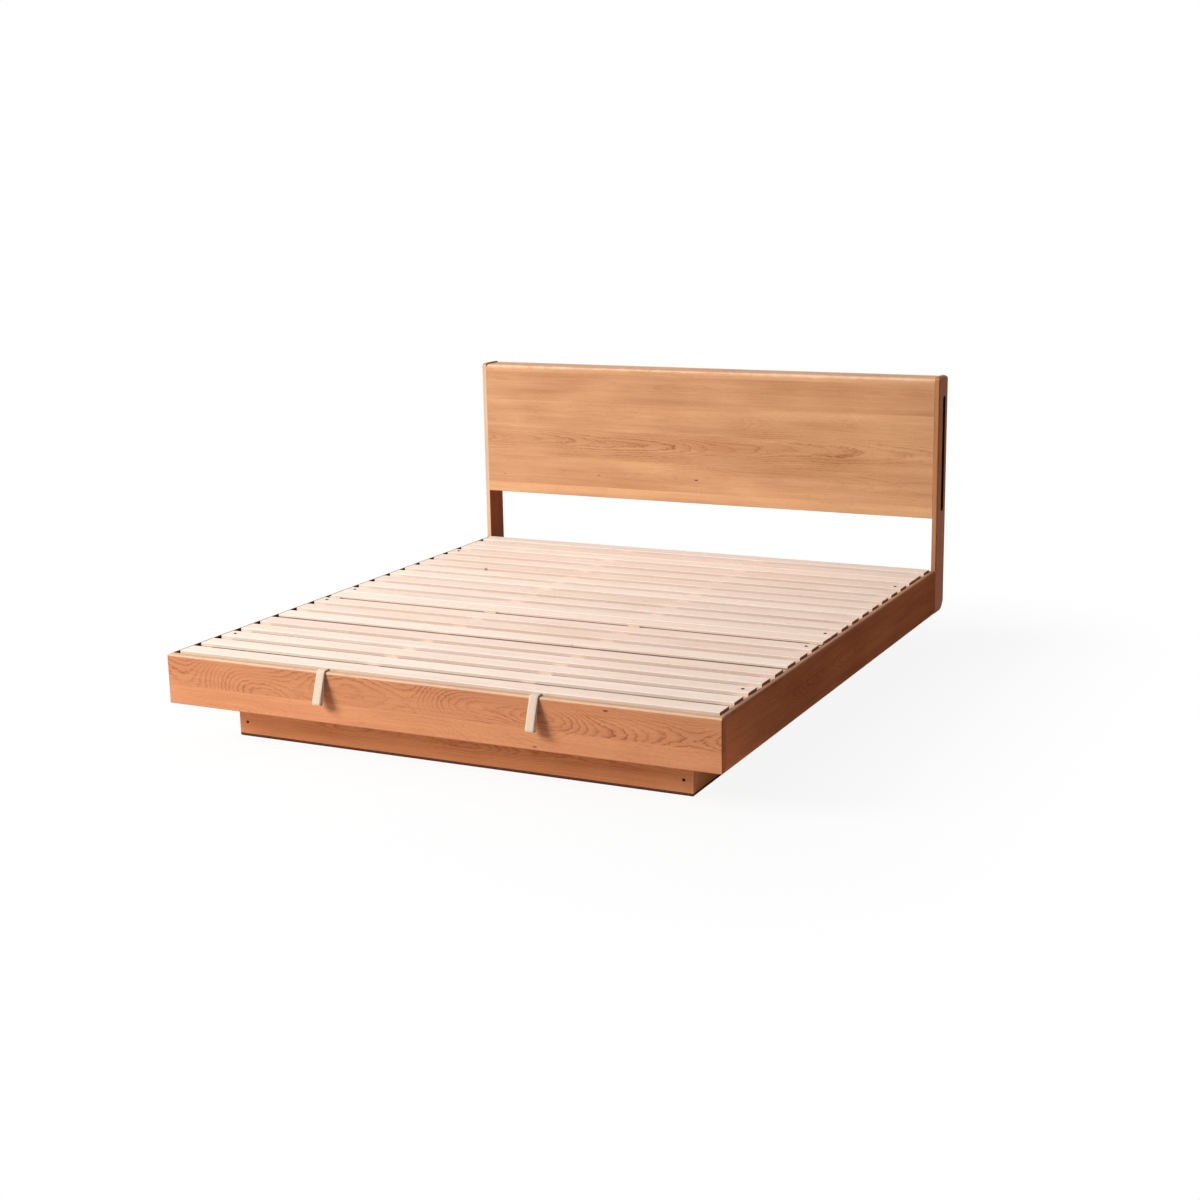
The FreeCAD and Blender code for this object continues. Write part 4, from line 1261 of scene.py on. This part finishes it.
def floor_material(colour, clear_share):
    """A plain pale floor that keeps the object's shadow near it and fades into the backdrop."""
    fade_start = 0.05
    fade_end = 1.0
    material, n, shader = new_material("floor", Base_Color=colour4(colour), Roughness=0.9,
                                       Specular_IOR_Level=0.1)
    place = n.parts(n.add("ShaderNodeTexCoord").outputs["Object"])
    beyond = [n.math("MAXIMUM", n.math("SUBTRACT", n.math("ABSOLUTE", place[axis]), cad_box[1][axis]), 0.0)
              for axis in (X, Y)]
    reach = n.math("SQRT", n.weighted(beyond[0], beyond[0], n.math("MULTIPLY", beyond[1], beyond[1])))
    rays = n.add("ShaderNodeLightPath").outputs
    seen = n.math("MAXIMUM", rays["Is Camera Ray"], rays["Is Glossy Ray"])
    seen = n.math("MAXIMUM", seen, rays["Is Transmission Ray"])
    thin = n.math("MULTIPLY", seen, clear_share)
    away = n.fade(reach, fade_start, fade_end)
    clear = n.add("ShaderNodeBsdfTransparent")
    mix = n.add("ShaderNodeMixShader")
    n.put(n.weighted(away, n.math("SUBTRACT", 1.0, thin), thin), mix.inputs[0])
    n.put(shader.outputs[0], mix.inputs[1])
    n.put(clear.outputs[0], mix.inputs[2])
    output = next(node for node in material.node_tree.nodes if node.type == "OUTPUT_MATERIAL")
    n.put(mix.outputs[0], output.inputs["Surface"])
    return material


def set_world(strength):
    """Even light from all sides, with white behind the object."""
    world = bpy.data.worlds.new("studio")
    bpy.context.scene.world = world
    world.use_nodes = True
    world.node_tree.nodes.clear()
    n = Nodes(world.node_tree)
    light = n.add("ShaderNodeBackground")
    light.inputs["Strength"].default_value = strength
    white = n.add("ShaderNodeBackground")
    rays = n.add("ShaderNodeLightPath").outputs
    seen = n.math("MAXIMUM", rays["Is Camera Ray"], rays["Is Glossy Ray"])
    seen = n.math("MAXIMUM", seen, rays["Is Transmission Ray"])
    mix = n.add("ShaderNodeMixShader")
    n.put(seen, mix.inputs[0])
    n.put(light.outputs[0], mix.inputs[1])
    n.put(white.outputs[0], mix.inputs[2])
    for background in (light, white):
        background.inputs["Color"].default_value = (1.0, 1.0, 1.0, 1.0)
    n.put(mix.outputs[0], n.add("ShaderNodeOutputWorld").inputs["Surface"])


def area_light(name, place, target, size, power):
    """A square soft light that looks at a point."""
    lamp = bpy.data.lights.new(name, "AREA")
    lamp.energy = power
    lamp.size = size
    light = bpy.data.objects.new(name, lamp)
    bpy.context.scene.collection.objects.link(light)
    way = Vector(target) - Vector(place)
    light.matrix_world = Matrix.Translation(place) @ way.to_track_quat("-Z", "Y").to_matrix().to_4x4()


def add_camera(settings):
    """A camera where the photograph's was."""
    az = settings.azimuth
    el = settings.elevation
    back = Vector((math.sin(az) * math.cos(el), -math.cos(az) * math.cos(el), math.sin(el)))
    right = Vector((math.cos(az), math.sin(az), 0.0))
    up = back.cross(right)
    rolled_right = right * math.cos(settings.roll) + up * math.sin(settings.roll)
    rolled_up = up * math.cos(settings.roll) - right * math.sin(settings.roll)
    turn = Matrix((rolled_right, rolled_up, back)).transposed()
    place = Vector((settings.side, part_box("footboard")[0][Y] - settings.ahead, settings.height))
    data = bpy.data.cameras.new("photo_camera")
    data.lens = settings.lens
    data.sensor_width = 36.0
    camera = bpy.data.objects.new("photo_camera", data)
    bpy.context.scene.collection.objects.link(camera)
    camera.matrix_world = Matrix.Translation(place) @ turn.to_4x4()
    bpy.context.scene.camera = camera


class BED_OT_stage(bpy.types.Operator):
    """Set the floor, the lights and the camera"""
    bl_idname = "bed.stage"
    bl_label = "Stage"

    def execute(self, context):
        settings = context.scene.bed_stage
        window_place = (-6.4, -5.7, 4.4)
        overhead_place = (-0.6, 0.2, 4.2)
        middle = (0.0, 0.0, 0.3)
        lamp_size = 3.6
        half = 6.0
        context.scene.view_settings.view_transform = "Standard"
        add_camera(settings)
        set_world(settings.sky)
        area_light("window", window_place, middle, lamp_size, settings.key_power)
        area_light("overhead", overhead_place, middle, lamp_size, settings.top_power)
        mesh = bpy.data.meshes.new("floor")
        corners = [(-half, -half, 0), (half, -half, 0), (half, half, 0), (-half, half, 0)]
        mesh.from_pydata(corners, [], [(0, 1, 2, 3)])
        mesh.materials.append(floor_material(tuple(settings.floor_colour), settings.floor_clear))
        new_object("floor", mesh)
        return {"FINISHED"}


class BED_PT_panel(bpy.types.Panel):
    """Lists the steps that dress the bed"""
    bl_idname = "BED_PT_panel"
    bl_label = "Floating storage bed"
    bl_space_type = "VIEW_3D"
    bl_region_type = "UI"
    bl_category = "Bed"

    def draw(self, context):
        for step in STEPS:
            self.layout.operator(step.bl_idname)
        for name in SETTINGS:
            group = getattr(context.scene, name)
            for key in group.__annotations__:
                self.layout.prop(group, key)


SETTINGS = {"bed_timber": TimberSettings, "bed_metal": MetalSettings, "bed_strap": StrapSettings,
            "bed_stage": StageSettings}
STEPS = (BED_OT_stage, BED_OT_straps, BED_OT_show_timber, BED_OT_slats, BED_OT_inner_timber, BED_OT_hardware,
         BED_OT_screws)
CLASSES = (*SETTINGS.values(), *STEPS, BED_PT_panel)


def register():
    """Register the classes and hang the settings on the scene."""
    for item in CLASSES:
        bpy.utils.register_class(item)
    for name, group in SETTINGS.items():
        setattr(bpy.types.Scene, name, PointerProperty(type=group))


def unregister():
    """Take the settings and classes off again."""
    for name in SETTINGS:
        delattr(bpy.types.Scene, name)
    for item in reversed(CLASSES):
        bpy.utils.unregister_class(item)


def main():
    """Build everything in order."""
    register()
    bpy.ops.bed.stage()
    bpy.ops.bed.straps()
    bpy.ops.bed.show_timber()
    bpy.ops.bed.slats()
    bpy.ops.bed.inner_timber()
    bpy.ops.bed.hardware()
    bpy.ops.bed.screws()


if __name__ == "__main__":
    main()
